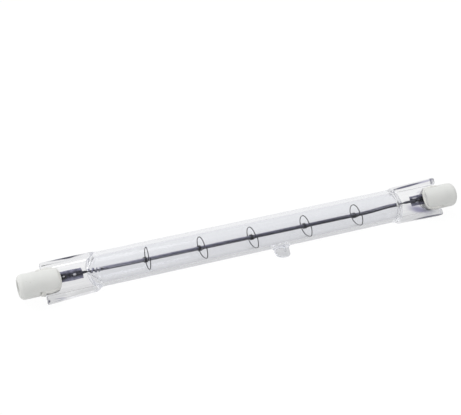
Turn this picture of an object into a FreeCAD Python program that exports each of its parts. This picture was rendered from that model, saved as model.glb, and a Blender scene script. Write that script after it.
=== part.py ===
import FreeCAD, Part
import math
import os

import Sketcher
from FreeCAD import Placement, Rotation, Vector

# A double-ended linear halogen bulb, in millimetres.
#
# The bulb is drawn in its own frame first: X runs along the tube with 0 at the middle of the
# glass, the press seals lie in the XY plane, and the exhaust tip points along -Y.
# Each end is drawn once as the right-hand end and turned half way round Z for the left-hand one.
# At the end every piece is rolled about X and lifted, so that the bulb lies on a level surface
# at Z = 0 as it would come to rest: on the lowest line of the tube and on the exhaust tip. It is
# also moved along X by the small step by which the glass is off the middle between the caps.

# Driving sizes, in millimetres, degrees or plain counts.
SIZES = {
    # whole bulb
    "overall_length": 116.6,
    "tube_diameter": 8.6,
    "tube_wall": 0.95,
    "glass_shift": 0.6,
    # ceramic caps
    "cap_diameter": 6.15,
    "cap_length": 9.4,
    "cap_edge_round": 0.95,
    "cap_inner_chamfer": 0.25,
    "cap_shift": 0.3,
    "slot_width": 3.4,
    "slot_depth": 4.75,
    "cement_setback": 0.25,
    "recess_diameter": 3.6,
    "recess_depth": 1.2,
    # metal contacts
    "contact_head_diameter": 2.9,
    "contact_head_thickness": 0.6,
    "contact_shank_diameter": 1.6,
    "contact_edge_chamfer": 0.12,
    "lead_seat_depth": 1.1,
    # press seals
    "pinch_end_gap": 0.8,
    "pinch_length": 13.65,
    "web_thickness": 1.8,
    "rim_thickness": 2.9,
    "rim_round": 0.55,
    "shoulder_start": -0.4,
    "shoulder_end": 1.6,
    "shoulder_round": 1.2,
    "rim_root_depth": 0.35,
    "pinch_twist": 6.0,
    # reach of each rim from the tube's axis, on the tip's side and on the far side, where it
    # leaves the shoulder and at the cut end, and how far its inner face stands from the axis
    "rim_root_left_tip": 5.1,
    "rim_root_left_far": 4.4,
    "rim_root_right_tip": 4.9,
    "rim_root_right_far": 4.6,
    "rim_end_left_tip": 5.7,
    "rim_end_left_far": 4.3,
    "rim_end_right_tip": 5.2,
    "rim_end_right_far": 4.9,
    "rim_inner_left_tip": 4.15,
    "rim_inner_left_far": 3.15,
    "rim_inner_right_tip": 3.75,
    "rim_inner_right_far": 3.4,
    # flattened necks between the tube and the press seals
    "neck_length": 3.6,
    "neck_end_width": 8.4,
    "neck_end_sink": 0.25,
    "bore_neck_length": 2.7,
    "bore_end_height": 0.84,
    "bore_end_width": 1.7,
    # sealing foils and lead wires
    "foil_width": 2.4,
    "foil_thickness": 0.04,
    "foil_length": 5.2,
    "foil_setback_left": 4.45,
    "foil_setback_right": 2.6,
    "outer_lead_diameter": 0.6,
    "outer_lead_overlap": 1.3,
    "inner_lead_diameter": 0.45,
    "inner_lead_overlap": 2.7,
    "inner_lead_insert": 2.0,
    # filament
    "filament_diameter": 1.0,
    "filament_past_neck_left": -0.3,
    "filament_past_neck_right": 1.8,
    "filament_wire": 0.2,
    "tail_clearance": 0.01,
    "tail_turns_left": 3.0,
    "tail_turns_right": 0.5,
    "tail_pitch": 0.6,
    "tail_root": 0.3,
    # filament supports, with the place of each hub as a share of the straight tube's half length
    "support_wire": 0.22,
    "support_clearance": 0.01,
    "hub_turns": 3.2,
    "hub_pitch": 0.28,
    "hub_share_1": -0.713,
    "hub_share_2": -0.347,
    "hub_share_3": 0.010,
    "hub_share_4": 0.383,
    "hub_share_5": 0.735,
    "arm_turns": 0.16,
    "arm_angle": 9.0,
    "ring_diameter": 5.75,
    "ring_turns": 0.95,
    "ring_advance": 0.3,
    "ring_lean_angle": -65.0,
    "ring_offset_1": 0.9,
    "ring_offset_2": 0.85,
    "ring_offset_3": 0.4,
    "ring_offset_4": 0.4,
    "ring_offset_5": 0.9,
    "ring_lean_1": -4.0,
    "ring_lean_2": 8.0,
    "ring_lean_3": 10.0,
    "ring_lean_4": 10.0,
    "ring_lean_5": 10.0,
    # sealed-off exhaust tip
    "tip_offset": 7.7,
    "tip_reach": 2.75,
    "tip_diameter": 2.5,
    "tip_foot_diameter": 4.2,
    "tip_end_round": 0.75,
    "tip_channel_diameter": 0.7,
    "tip_channel_cover": 1.2,
}

# Places along X, counted outwards from the middle, and other sizes that follow from the above.
DERIVED = {
    "outer_end": "overall_length / 2",
    "recess_floor": "outer_end - recess_depth",
    "contact_seat": "recess_floor - contact_head_thickness",
    "cap_inner_end": "outer_end - cap_length",
    "slot_end": "cap_inner_end + slot_depth",
    "pinch_end": "slot_end - pinch_end_gap",
    "neck_start": "pinch_end - pinch_length",
    "tube_radius": "tube_diameter / 2",
    "bore_radius": "tube_radius - tube_wall",
    "cap_radius": "cap_diameter / 2",
    "outer_lead_radius": "outer_lead_diameter / 2",
    "inner_lead_radius": "inner_lead_diameter / 2",
    "shank_radius": "contact_shank_diameter / 2",
    "foil_top": "0 - outer_lead_radius",
    "tip_radius": "tip_diameter / 2",
    "tip_end": "tube_radius + tip_reach",
    "tip_foot_round": "( tip_foot_diameter - tip_diameter ) / 2",
}

# Straight steps in which a neck narrows, outside and inside, from its round end to its flat one.
NECK_STEPS = 4
BORE_STEPS = 3

# Straight chords that stand for a round edge, for one turn of a tight coil, for a support's arm
# and for its ring, and the sides of the wires' section.
EDGE_CHORDS = 3
COIL_CHORDS = 9
ARM_CHORDS = 4
RING_CHORDS = 22
WIRE_SIDES = 6

SIDES = ("left", "right")
RIMS = ("tip", "far")
SUPPORTS = ("1", "2", "3", "4", "5")

document = FreeCAD.newDocument("linear_halogen_bulb")
sheet = document.addObject("Spreadsheet::Sheet", "sizes")


def fill_sheet():
    """Write every driving size and every size that follows from them into the sheet."""
    rows = [(name, str(value)) for name, value in SIZES.items()]
    rows += [(name, "=" + formula) for name, formula in DERIVED.items()]
    for number, (name, content) in enumerate(rows, start=1):
        sheet.set(f"A{number}", name)
        sheet.set(f"B{number}", content)
        sheet.setAlias(f"B{number}", name)
    document.recompute()


def size(name):
    """The value of one cell of the sheet."""
    return float(sheet.get(name))


def formula(expression):
    """The value of an expression written in the names of the sheet's cells."""
    return float(sheet.evalExpression(expression))


def bind(thing, **properties):
    """Tie properties of an object to expressions on the sheet."""
    for name, expression in properties.items():
        thing.setExpression(name, in_sheet(expression))


def in_sheet(expression):
    """The same expression with each cell's name led by the sheet's name."""
    words = []
    for word in expression.replace("(", " ( ").replace(")", " ) ").split():
        words.append(f"sizes.{word}" if word in SIZES or word in DERIVED else word)
    return " ".join(words)


# Placements


def rest_roll():
    """Angle of the tip below the level, in degrees, when tube and tip both touch the surface.

    The tip's end is a cylinder with a rounded edge. The surface is the common tangent of the
    tube's circle and of the lower round of that edge.
    """
    edge_round = size("tip_end_round")
    along = size("tip_end") - edge_round
    beside = size("tip_radius") - edge_round
    drop = size("tube_radius") - edge_round
    lean = math.asin(drop / math.hypot(along, beside)) - math.atan2(beside, along)
    return math.degrees(lean)


def level_shift(roll):
    """Shift of the tube's axis along Y that puts the middle of the bulb's width over the origin.

    The tip reaches furthest to one side. On the other side it is the tube or one of the rims.
    """
    lean = math.radians(roll)
    edge_round = size("tip_end_round")
    tip_along = size("tip_end") - edge_round
    tip_beside = size("tip_radius") - edge_round
    tip_reach = tip_along * math.cos(lean) + tip_beside * math.sin(lean) + edge_round
    rim_round = size("rim_round")
    rim_beside = size("rim_thickness") / 2 - rim_round
    far_reach = size("tube_radius")
    for side in SIDES:
        twist = size("pinch_twist") / 2
        rim_lean = math.radians(roll - twist if side == "left" else roll + twist)
        rim_across = size(f"rim_end_{side}_far") - rim_round
        rim_reach = rim_across * math.cos(rim_lean) + rim_beside * math.sin(rim_lean) + rim_round
        far_reach = max(far_reach, rim_reach)
    return (tip_reach - far_reach) / 2


def bulb_placement():
    """From the bulb's own frame to its place at rest on the surface."""
    roll = rest_roll()
    lift = Vector(size("glass_shift"), level_shift(roll), size("tube_radius"))
    return Placement(lift, Rotation(Vector(1, 0, 0), roll))


def end_placement(side):
    """From the frame of the right-hand end, drawn flat, to one end of the bulb at rest.

    The two press seals were made in two steps, so each is turned a few degrees from the tip.
    """
    turn = 180.0 if side == "left" else 0.0
    twist = size("pinch_twist") / 2
    half_turn = Placement(Vector(), Rotation(Vector(0, 0, 1), turn))
    twisted = Placement(Vector(), Rotation(Vector(1, 0, 0), twist))
    return bulb_placement() * half_turn * twisted


def reach_across(side, rim, reach):
    """Place across the bulb, in an end's own flat frame, of a reach towards the tip or away from it."""
    return f"0 - ( {reach} )" if (side == "right") == (rim == "tip") else reach


def cap_start(side):
    """How far a cap's own frame lies outwards from its seal's: the glass isn't quite in the middle."""
    return "glass_shift" if side == "left" else "0 - glass_shift"


def cap_placement(side):
    """Where the cap and its contact sit: a little off the tube's axis, towards the tip's side."""
    shift = Vector(formula(cap_start(side)), formula(reach_across(side, "tip", "cap_shift")), 0)
    return end_placement(side) * Placement(shift, Rotation())


def along_x(start):
    """Placement that lays an object's own Z along X, from a given start on the axis."""
    return Placement(Vector(start, 0, 0), Rotation(Vector(0, 1, 0), 90))


# Sketches and simple solids


def new_body(name):
    body = document.addObject("PartDesign::Body", name)
    body.Label = name
    return body


def new_sketch(body, name, plane):
    """A sketch on one of the body's own origin planes."""
    sketch = body.newObject("Sketcher::SketchObject", name)
    support = [feature for feature in body.Origin.OriginFeatures if feature.Role == plane][0]
    sketch.AttachmentSupport = [(support, "")]
    sketch.MapMode = "FlatFace"
    return sketch


def draw_outline(sketch, corners):
    """A closed outline of straight lines. Each corner is a pair of expressions on the sheet."""
    points = [Vector(formula(across), formula(up), 0) for across, up in corners]
    first = sketch.GeometryCount
    count = len(points)
    for index, point in enumerate(points):
        following = points[(index + 1) % count]
        sketch.addGeometry(Part.LineSegment(point, following), False)
    for index, (across, up) in enumerate(corners):
        line = first + index
        following = first + (index + 1) % count
        sketch.addConstraint(Sketcher.Constraint("Coincident", line, 2, following, 1))
        for kind, expression, value in (
            ("DistanceX", across, points[index].x),
            ("DistanceY", up, points[index].y),
        ):
            number = sketch.addConstraint(Sketcher.Constraint(kind, -1, 1, line, 1, value))
            name = f"{kind}_{line}"
            sketch.renameConstraint(number, name)
            sketch.setExpression(f"Constraints.{name}", in_sheet(expression))


def chord_round(centre_across, centre_up, radius, first, last):
    """Corners of an outline that follow a round edge by chords, between two angles in degrees."""
    corners = []
    for step in range(EDGE_CHORDS + 1):
        angle = math.radians(first + (last - first) * step / EDGE_CHORDS)
        corners.append((
            f"{centre_across} + ( {radius} ) * ( {math.cos(angle):.6f} )",
            f"{centre_up} + ( {radius} ) * ( {math.sin(angle):.6f} )",
        ))
    return corners


def revolve(body, name, sketch, axis):
    turned = body.newObject("PartDesign::Revolution", name)
    turned.Profile = sketch
    turned.ReferenceAxis = (sketch, [axis])
    document.recompute()
    return turned


def edges_where(feature, test):
    """Names of the edges of a feature whose points all pass a test."""
    names = []
    for number, edge in enumerate(feature.Shape.Edges, start=1):
        first, last = edge.ParameterRange
        samples = [edge.valueAt(first + (last - first) * step / 4) for step in range(5)]
        if all(test(point) for point in samples):
            names.append(f"Edge{number}")
    return names


def near(value, target):
    return abs(value - target) < 1e-4


def round_edges(body, name, base, edges, radius):
    rounded = body.newObject("PartDesign::Fillet", name)
    rounded.Base = (base, edges)
    bind(rounded, Radius=radius)
    document.recompute()
    return rounded


def new_cylinder(name, radius, start, end, place, across="0", up="0"):
    """A cylinder parallel to X between two places given as expressions."""
    cylinder = document.addObject("Part::Cylinder", name)
    bind(cylinder, Radius=radius, Height=f"{end} - ( {start} )")
    centre = Placement(Vector(0, formula(across), formula(up)), Rotation())
    cylinder.Placement = place * centre * along_x(formula(start))
    return cylinder


def new_box(name, corner, lengths, place):
    """A box from its lowest corner and its three edge lengths, all given as expressions."""
    box = document.addObject("Part::Box", name)
    bind(box, Length=lengths[0], Width=lengths[1], Height=lengths[2])
    box.Placement = place * Placement(Vector(*[formula(value) for value in corner]), Rotation())
    return box


def fuse(name, shapes):
    fused = document.addObject("Part::MultiFuse", name)
    fused.Shapes = shapes
    return fused


def cut(name, base, tools):
    """The base without the tools, taken away one after another. The last step has the name."""
    for number, tool in enumerate(tools, start=1):
        step = document.addObject("Part::Cut", name if number == len(tools) else f"{name}_{number}")
        step.Base = base
        step.Tool = tool
        base = step
    return base


# Quartz envelope


def neck_loft(name, side, start_radius, length, end_height, end_width, steps):
    """A round section that flattens along the axis and ends as a flat ellipse.

    At a share s of the length, both half axes have moved from the start radius to their end
    values by (1 - cos(pi s)) / 2, so the neck leaves the round tube without a crease.
    """
    sections = []
    for number in range(steps + 1):
        share = number / steps
        kept = (1 + math.cos(math.pi * share)) / 2
        section = document.addObject("Part::Ellipse", f"{name}_{side}_section_{number}")
        start = f"( {start_radius} ) * {kept:.6f}"
        bind(section, MajorRadius=f"{start} + ( {end_width} ) / 2 * {1 - kept:.6f}",
             MinorRadius=f"{start} + ( {end_height} ) / 2 * {1 - kept:.6f}")
        station = formula(f"neck_start + ( {length} ) * {share:.6f}")
        across_y = Rotation(Vector(1, 1, 1), 120)
        section.Placement = end_placement(side) * Placement(Vector(station, 0, 0), across_y)
        sections.append(section)
    loft = document.addObject("Part::Loft", f"{name}_{side}")
    loft.Sections = sections
    loft.Solid = True
    loft.Ruled = True
    return loft


def press_seal(side):
    """The flat seal: a thin web between two thick rims, which swell out of the tube's sides.

    The jaws that pressed it never stood quite in the middle, so the rims differ in their reach.
    """
    body = new_body(f"press_seal_{side}")
    plan = new_sketch(body, f"seal_plan_{side}", "XY_Plane")
    root = "tube_radius - rim_root_depth"
    start = "neck_start + shoulder_start"
    shoulder = "neck_start + shoulder_end"
    edges = []
    for rim in RIMS:
        edges.append([
            (start, reach_across(side, rim, root)),
            (shoulder, reach_across(side, rim, f"rim_root_{side}_{rim}")),
            ("pinch_end", reach_across(side, rim, f"rim_end_{side}_{rim}")),
        ])
    draw_outline(plan, edges[0] + edges[1][::-1])
    plate = body.newObject("PartDesign::Pad", f"seal_plate_{side}")
    plate.Profile = plan
    plate.SideType = "Symmetric"
    bind(plate, Length="rim_thickness")
    document.recompute()

    half_thickness = size("rim_thickness") / 2
    corner = formula(shoulder)
    shoulder_edges = edges_where(plate, lambda point: near(point.x, corner))
    eased = round_edges(body, f"shoulder_rounds_{side}", plate, shoulder_edges, "shoulder_round")
    rim_edges = edges_where(eased, lambda point: near(abs(point.z), half_thickness)
                            and point.x > corner and abs(point.y) > size("bore_radius"))
    rounded = round_edges(body, f"rim_rounds_{side}", eased, rim_edges, "rim_round")

    channels = new_sketch(body, f"seal_channels_{side}", "YZ_Plane")
    tip_face, far_face = [reach_across(side, rim, f"rim_inner_{side}_{rim}") for rim in RIMS]
    for sign in ("", "0 - "):
        draw_outline(channels, [
            (far_face, f"{sign}( web_thickness / 2 )"),
            (tip_face, f"{sign}( web_thickness / 2 )"),
            (tip_face, f"{sign}( rim_thickness )"),
            (far_face, f"{sign}( rim_thickness )"),
        ])
    pressed = body.newObject("PartDesign::Pocket", f"seal_web_{side}")
    pressed.Profile = channels
    pressed.Type = "ThroughAll"
    pressed.Reversed = True
    document.recompute()
    if pressed.Shape.Volume > rounded.Shape.Volume * 0.95:
        raise RuntimeError(f"the channels of the {side} seal cut nothing")
    body.Placement = end_placement(side)
    return body


def exhaust_tip():
    """The stub left where the exhaust tube was melted off, round and flared at its foot."""
    body = new_body("exhaust_stub")
    profile = new_sketch(body, "stub_profile", "XY_Plane")
    inside = "0 - ( bore_radius + tube_wall / 4 )"
    foot = chord_round("tip_foot_diameter / 2", "0 - tube_radius - tip_foot_round",
                       "tip_foot_round", 90, 180)
    end = chord_round("tip_radius - tip_end_round", "tip_end_round - tip_end",
                      "tip_end_round", 0, -90)
    corners = [("0", inside), ("tip_foot_diameter / 2", inside), *foot, *end, ("0", "0 - tip_end")]
    draw_outline(profile, corners)
    revolve(body, "stub_turned", profile, "V_Axis")
    body.Placement = bulb_placement() * Placement(Vector(size("tip_offset"), 0, 0), Rotation())
    return body


def exhaust_channel():
    """The fine hole left inside the stub, open to the bore."""
    channel = document.addObject("Part::Cylinder", "exhaust_channel")
    bind(channel, Radius="tip_channel_diameter / 2",
         Height="tip_end - tip_channel_cover - bore_radius / 2")
    inward = Placement(Vector(size("tip_offset"), -size("bore_radius") / 2, 0),
                       Rotation(Vector(1, 0, 0), 90))
    channel.Placement = bulb_placement() * inward
    return channel


def quartz_envelope(sealed_in):
    """Tube, necks, seals and tip as one hollow piece, closed tightly round what it seals in."""
    place = bulb_placement()
    solids = [new_cylinder("tube_outside", "tube_radius", "0 - neck_start", "neck_start", place)]
    hollows = [new_cylinder("tube_bore", "bore_radius", "0 - neck_start", "neck_start", place)]
    for side in SIDES:
        solids.append(neck_loft("neck", side, "tube_radius", "neck_length",
                                "web_thickness - 2 * neck_end_sink", "neck_end_width",
                                NECK_STEPS))
        solids.append(press_seal(side))
        hollows.append(neck_loft("bore_end", side, "bore_radius", "bore_neck_length",
                                 "bore_end_height", "bore_end_width", BORE_STEPS))
    solids.append(exhaust_tip())
    hollows.append(exhaust_channel())
    envelope = cut("quartz_envelope", fuse("quartz_outside", solids), hollows + sealed_in)
    return envelope


# Ends


def ceramic_cap(side):
    """A turned cap with a recess for the contact, slotted to straddle the press seal."""
    name = f"ceramic_cap_{side}"
    body = new_body(name)
    profile = new_sketch(body, f"cap_profile_{side}", "XY_Plane")
    outer_edge = chord_round("outer_end - cap_edge_round", "cap_radius - cap_edge_round",
                             "cap_edge_round", 90, 0)
    draw_outline(profile, [
        ("cap_inner_end", "shank_radius"),
        ("cap_inner_end", "cap_radius - cap_inner_chamfer"),
        ("cap_inner_end + cap_inner_chamfer", "cap_radius"),
        *outer_edge,
        ("outer_end", "recess_diameter / 2"),
        ("recess_floor", "recess_diameter / 2"),
        ("recess_floor", "contact_head_diameter / 2"),
        ("contact_seat", "contact_head_diameter / 2"),
        ("contact_seat", "shank_radius"),
    ])
    turned = revolve(body, f"cap_turned_{side}", profile, "H_Axis")

    slot_plan = new_sketch(body, f"slot_plan_{side}", "XZ_Plane")
    draw_outline(slot_plan, [
        ("cap_inner_end - cap_radius", "0 - slot_width / 2"),
        ("slot_end", "0 - slot_width / 2"),
        ("slot_end", "slot_width / 2"),
        ("cap_inner_end - cap_radius", "slot_width / 2"),
    ])
    slot = body.newObject("PartDesign::Pocket", f"cap_slot_{side}")
    slot.Profile = slot_plan
    slot.SideType = "Symmetric"
    bind(slot, Length="cap_diameter * 2")
    document.recompute()
    if slot.Shape.Volume > turned.Shape.Volume * 0.95:
        raise RuntimeError(f"the slot of the {side} cap cuts nothing")
    body.Placement = cap_placement(side)
    return body


def contact(side, lead):
    """A turned contact: a flat head in the cap's recess and a shank, drilled to take the lead."""
    body = new_body(f"contact_blank_{side}")
    profile = new_sketch(body, f"contact_profile_{side}", "XY_Plane")
    draw_outline(profile, [
        ("slot_end", "0"),
        ("slot_end", "shank_radius"),
        ("contact_seat", "shank_radius"),
        ("contact_seat", "contact_head_diameter / 2"),
        ("recess_floor - contact_edge_chamfer", "contact_head_diameter / 2"),
        ("recess_floor", "contact_head_diameter / 2 - contact_edge_chamfer"),
        ("recess_floor", "0"),
    ])
    revolve(body, f"contact_turned_{side}", profile, "H_Axis")
    body.Placement = cap_placement(side)
    return cut(f"contact_{side}", body, [lead])


def sealing_foil(side):
    """A thin strip of foil that lies flat in the press seal, under the ends of both leads."""
    start = f"pinch_end - foil_setback_{side} - foil_length"
    return new_box(f"sealing_foil_{side}",
                   (start, "0 - foil_width / 2", "foil_top - foil_thickness"),
                   ("foil_length", "foil_width", "foil_thickness"), end_placement(side))


def outer_lead(side):
    """Straight wire from the outer part of the foil through the seal into the contact."""
    start = f"pinch_end - foil_setback_{side} - outer_lead_overlap"
    end = f"recess_floor - lead_seat_depth + ( {cap_start(side)} )"
    return new_cylinder(f"outer_lead_{side}", "outer_lead_radius", start, end, end_placement(side))


def inner_lead(side):
    """Straight wire from the inner part of the foil into the end of the filament."""
    start = f"neck_start + filament_past_neck_{side} - inner_lead_insert"
    end = f"pinch_end - foil_setback_{side} - foil_length + inner_lead_overlap"
    return new_cylinder(f"inner_lead_{side}", "inner_lead_radius", start, end,
                        end_placement(side), up="foil_top + inner_lead_radius")


def cap_cement(side, lead):
    """Cement that fills the cap's slot all round the end of the press seal."""
    place = cap_placement(side)
    inside = "cap_inner_end + cap_inner_chamfer"
    filling = document.addObject("Part::MultiCommon", f"slot_filling_{side}")
    filling.Shapes = [
        new_box(f"slot_space_{side}", (inside, "0 - cap_radius", "0 - slot_width / 2"),
                (f"slot_end - ( {inside} )", "cap_diameter", "slot_width"), place),
        new_cylinder(f"cement_round_{side}", "cap_radius - cement_setback", inside,
                     "slot_end", place),
    ]
    web = new_box(f"web_space_{side}", ("neck_start", "0 - cap_diameter", "0 - web_thickness / 2"),
                  ("pinch_length", "2 * cap_diameter", "web_thickness"), end_placement(side))
    return cut(f"cap_cement_{side}", filling, [web, lead])


# Filament and its supports


def bent_wire(points, wire_diameter):
    """A bar of even section along straight chords, mitred where two chords meet.

    The section starts square to the first chord. It is carried along each chord to the plane
    that halves the bend at the chord's end, so every chord keeps the same section.
    """
    directions = [(after - before).normalize() for before, after in zip(points, points[1:])]
    side = directions[0].cross(Vector(1, 0, 0)).normalize()
    up = directions[0].cross(side)
    corners = []
    for number in range(WIRE_SIDES):
        angle = 2 * math.pi * number / WIRE_SIDES
        reach = side * math.cos(angle) + up * math.sin(angle)
        corners.append(points[0] + reach * (wire_diameter / 2))
    sections = [corners]
    for number, direction in enumerate(directions):
        following = directions[min(number + 1, len(directions) - 1)]
        normal = (direction + following).normalize()
        slide = direction.dot(normal)
        end = points[number + 1]
        corners = [point + direction * ((end - point).dot(normal) / slide) for point in corners]
        sections.append(corners)
    outlines = [sections[0][::-1], sections[-1]]
    for here, there in zip(sections, sections[1:]):
        for index in range(WIRE_SIDES):
            other = index - 1
            outlines.append([here[other], here[index], there[index], there[other]])
    faces = [Part.Face(Part.makePolygon([*outline, outline[0]])) for outline in outlines]
    bar = Part.makeSolid(Part.makeShell(faces))
    return bar if bar.Volume > 0 else bar.reversed()


def chord_reach(radius):
    """Radius of the corners of a coil drawn with chords, whose chords' middles lie at a radius."""
    return radius / math.cos(math.pi / COIL_CHORDS)


def around(along, radius, turns):
    """A point beside the axis, turned from +Z towards +Y by a number of turns."""
    angle = 2 * math.pi * turns
    return Vector(along, radius * math.sin(angle), radius * math.cos(angle))


def tail_coil(side):
    """The open end turns of the coil, wound round the inner lead, as a named object."""
    radius = chord_reach(formula("inner_lead_radius + tail_clearance + filament_wire / 2"))
    start = formula(f"neck_start + filament_past_neck_{side} - tail_root")
    root_turns = size("tail_root") / size("tail_pitch")
    turns = root_turns + size(f"tail_turns_{side}")
    steps = max(int(round(turns * COIL_CHORDS)), 2)
    points = []
    for step in range(steps + 1):
        wound = turns * step / steps
        points.append(around(start + wound * size("tail_pitch"), radius, wound))
    coil = document.addObject("Part::Feature", f"tail_coil_{side}")
    coil.Shape = bent_wire(points, size("filament_wire"))
    on_lead = Placement(Vector(0, 0, formula("foil_top + inner_lead_radius")), Rotation())
    coil.Placement = end_placement(side) * on_lead
    return coil


def filament(leads):
    """The close-wound coil's true outline, bored for the inner leads, with open end turns."""
    start = "0 - ( neck_start + filament_past_neck_left )"
    end = "neck_start + filament_past_neck_right"
    outline = new_cylinder("coil_outline", "filament_diameter / 2", start, end, bulb_placement())
    wound = fuse("coil_and_tails", [outline, tail_coil("left"), tail_coil("right")])
    return cut("filament", wound, leads)


def support_points(number):
    """Centre line of one support wire: a tight hub, a short arm and one open ring.

    The hub is an even helix on the filament. Along the arm the radius grows by a cosine from the
    hub's to the ring's. The ring leans: each of its points is shifted along the tube by its reach
    towards the leaning side times the tangent of the lean.
    """
    wire_radius = size("support_wire") / 2
    hub_radius = chord_reach(size("filament_diameter") / 2 + size("support_clearance") + wire_radius)
    ring_radius = size("ring_diameter") / 2 - wire_radius
    centre = size(f"hub_share_{number}") * size("neck_start")
    hub_length = size("hub_turns") * size("hub_pitch")
    arm_start = size("arm_angle") / 360 - size("arm_turns")
    lean = math.tan(math.radians(size(f"ring_lean_{number}")))
    leaning_side = around(0, 1, size("ring_lean_angle") / 360)

    points = []
    hub_steps = int(round(size("hub_turns") * COIL_CHORDS))
    for step in range(hub_steps):
        left = size("hub_turns") * (1 - step / hub_steps)
        along = centre + hub_length / 2 - left * size("hub_pitch")
        points.append(around(along, hub_radius, arm_start - left))
    ring_start = centre + size(f"ring_offset_{number}") - size("ring_advance") / 2
    hub_end = centre + hub_length / 2
    for step in range(ARM_CHORDS):
        share = step / ARM_CHORDS
        growth = (1 - math.cos(math.pi * share)) / 2
        radius = hub_radius + (ring_radius - hub_radius) * growth
        point = around(0, radius, arm_start + size("arm_turns") * share)
        shift = lean * point.dot(leaning_side) * growth
        point.x = hub_end + (ring_start - hub_end) * share + shift
        points.append(point)
    ring_steps = int(round(size("ring_turns") * RING_CHORDS))
    for step in range(ring_steps + 1):
        share = step / ring_steps
        turned = arm_start + size("arm_turns") + size("ring_turns") * share
        point = around(0, ring_radius, turned)
        point.x = ring_start + size("ring_advance") * share + lean * point.dot(leaning_side)
        points.append(point)
    return points


def filament_support(number):
    """One bent wire that grips the filament and keeps it in the middle of the tube."""
    wire = document.addObject("Part::Feature", f"filament_support_{number}")
    wire.Shape = bent_wire(support_points(number), size("support_wire"))
    wire.Placement = bulb_placement()
    return wire


# Assembly


def export(nodes):
    """Check every object, then write one file for each piece."""
    document.recompute()
    for thing in document.Objects:
        if "Invalid" in thing.State or "Error" in thing.State:
            raise RuntimeError(f"{thing.Label} failed: {thing.State}")
    for name, node in nodes.items():
        if node.Shape.isNull() or not node.Shape.isValid() or not node.Shape.Solids:
            raise RuntimeError(f"{name} has no valid solid")
    os.makedirs("parts", exist_ok=True)
    for name, node in nodes.items():
        node.Label = name
        node.Shape.exportStep(os.path.join("parts", f"{name}.step"))
        print(f"{name}: {len(node.Shape.Solids)} solid, {node.Shape.Volume:.2f} cubic mm")


def build():
    fill_sheet()
    nodes = {}
    sealed_in = []
    for side in SIDES:
        foil = sealing_foil(side)
        outer = outer_lead(side)
        inner = inner_lead(side)
        sealed_in += [foil, outer, inner]
        nodes[f"sealing_foil_{side}"] = foil
        nodes[f"outer_lead_{side}"] = outer
        nodes[f"inner_lead_{side}"] = inner
        nodes[f"ceramic_cap_{side}"] = ceramic_cap(side)
        nodes[f"contact_{side}"] = contact(side, outer)
        nodes[f"cap_cement_{side}"] = cap_cement(side, outer)
    nodes["filament"] = filament([nodes["inner_lead_left"], nodes["inner_lead_right"]])
    for number in SUPPORTS:
        nodes[f"filament_support_{number}"] = filament_support(number)
    nodes["quartz_envelope"] = quartz_envelope(sealed_in)
    export(nodes)


build()
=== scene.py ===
# %% [markdown]
# # A linear halogen bulb, dressed in Blender
#
# The bulb is a clear quartz tube with a coiled filament along its middle. Both of its ends are
# pressed flat round a thin metal foil, and each flat end carries a round ceramic cap. The packed
# model gives every solid its place. This scene puts a finely worked surface on each of them:
# glass that bends what is seen through it, wire that is really coiled, and matt ceramic.
#
# The first cell loads that model. Its lengths are metres, with +Z up and the bulb lying along X.

# %% Load the packed model
import math

import bmesh
import bpy
import numpy as np
from mathutils import Matrix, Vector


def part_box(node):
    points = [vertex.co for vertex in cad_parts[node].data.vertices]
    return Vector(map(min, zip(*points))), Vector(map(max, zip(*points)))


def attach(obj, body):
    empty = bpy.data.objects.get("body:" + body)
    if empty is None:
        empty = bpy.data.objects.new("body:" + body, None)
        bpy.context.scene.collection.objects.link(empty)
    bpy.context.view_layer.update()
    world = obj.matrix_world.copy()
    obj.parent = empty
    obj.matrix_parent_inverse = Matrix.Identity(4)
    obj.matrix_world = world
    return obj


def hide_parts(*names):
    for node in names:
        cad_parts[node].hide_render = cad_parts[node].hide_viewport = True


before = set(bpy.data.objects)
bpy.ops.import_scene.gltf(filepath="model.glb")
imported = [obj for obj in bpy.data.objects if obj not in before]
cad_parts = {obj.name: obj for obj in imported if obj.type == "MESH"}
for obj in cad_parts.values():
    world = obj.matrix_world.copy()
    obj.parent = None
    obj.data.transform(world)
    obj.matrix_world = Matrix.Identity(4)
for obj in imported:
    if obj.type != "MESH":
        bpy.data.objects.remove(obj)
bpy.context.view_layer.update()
print("packed pieces:", len(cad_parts))

# %% [markdown]
# ## How the bulb lies
#
# A round tube would roll, but this one has the stub of its exhaust tube on one side. The bulb
# rolls until that stub touches the table, so it rests on the tube's lowest line and on the stub.
# It is easiest to work each shape out in the bulb's own frame, in millimetres: X along the tube,
# the flat seals in the XY plane, and the stub pointing along -Y. One function then turns the
# points to the resting place. The ends are drawn once, as the right-hand end, and turned half
# way round for the left-hand one.

# %% Place and main sizes
MM = 0.001


def packed_box(node):
    """Low and high corner of a packed piece, in millimetres."""
    return [np.array(corner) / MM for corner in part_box(node)]


cap_low, cap_high = packed_box("ceramic_cap_right")
coil_low, coil_high = packed_box("filament")
glass_low, glass_high = packed_box("quartz_envelope")
AXIS_Y = (coil_low + coil_high)[1] / 2
AXIS_Z = coil_high[2] - (coil_high - coil_low)[1] / 2
OUTER_END = cap_high[0]
CAP_INNER_END = cap_low[0]
CAP_RADIUS = 3.07
CAP_SHIFT = 0.3
GLASS_SHIFT = (glass_low + glass_high)[0] / 2
SEAL_END = (glass_high - glass_low)[0] / 2
SEAL_LENGTH = 13.65
NECK_START = SEAL_END - SEAL_LENGTH
SEAL_TWIST = math.radians(3.0)
TUBE_RADIUS = 4.298
TUBE_WALL = 0.95
BORE_RADIUS = TUBE_RADIUS - TUBE_WALL

STUB_X = 7.7
STUB_RADIUS = 1.25
STUB_REACH = 2.75
STUB_END_ROUND = 0.75
STUB_FOOT_ROUND = 0.85

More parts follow.
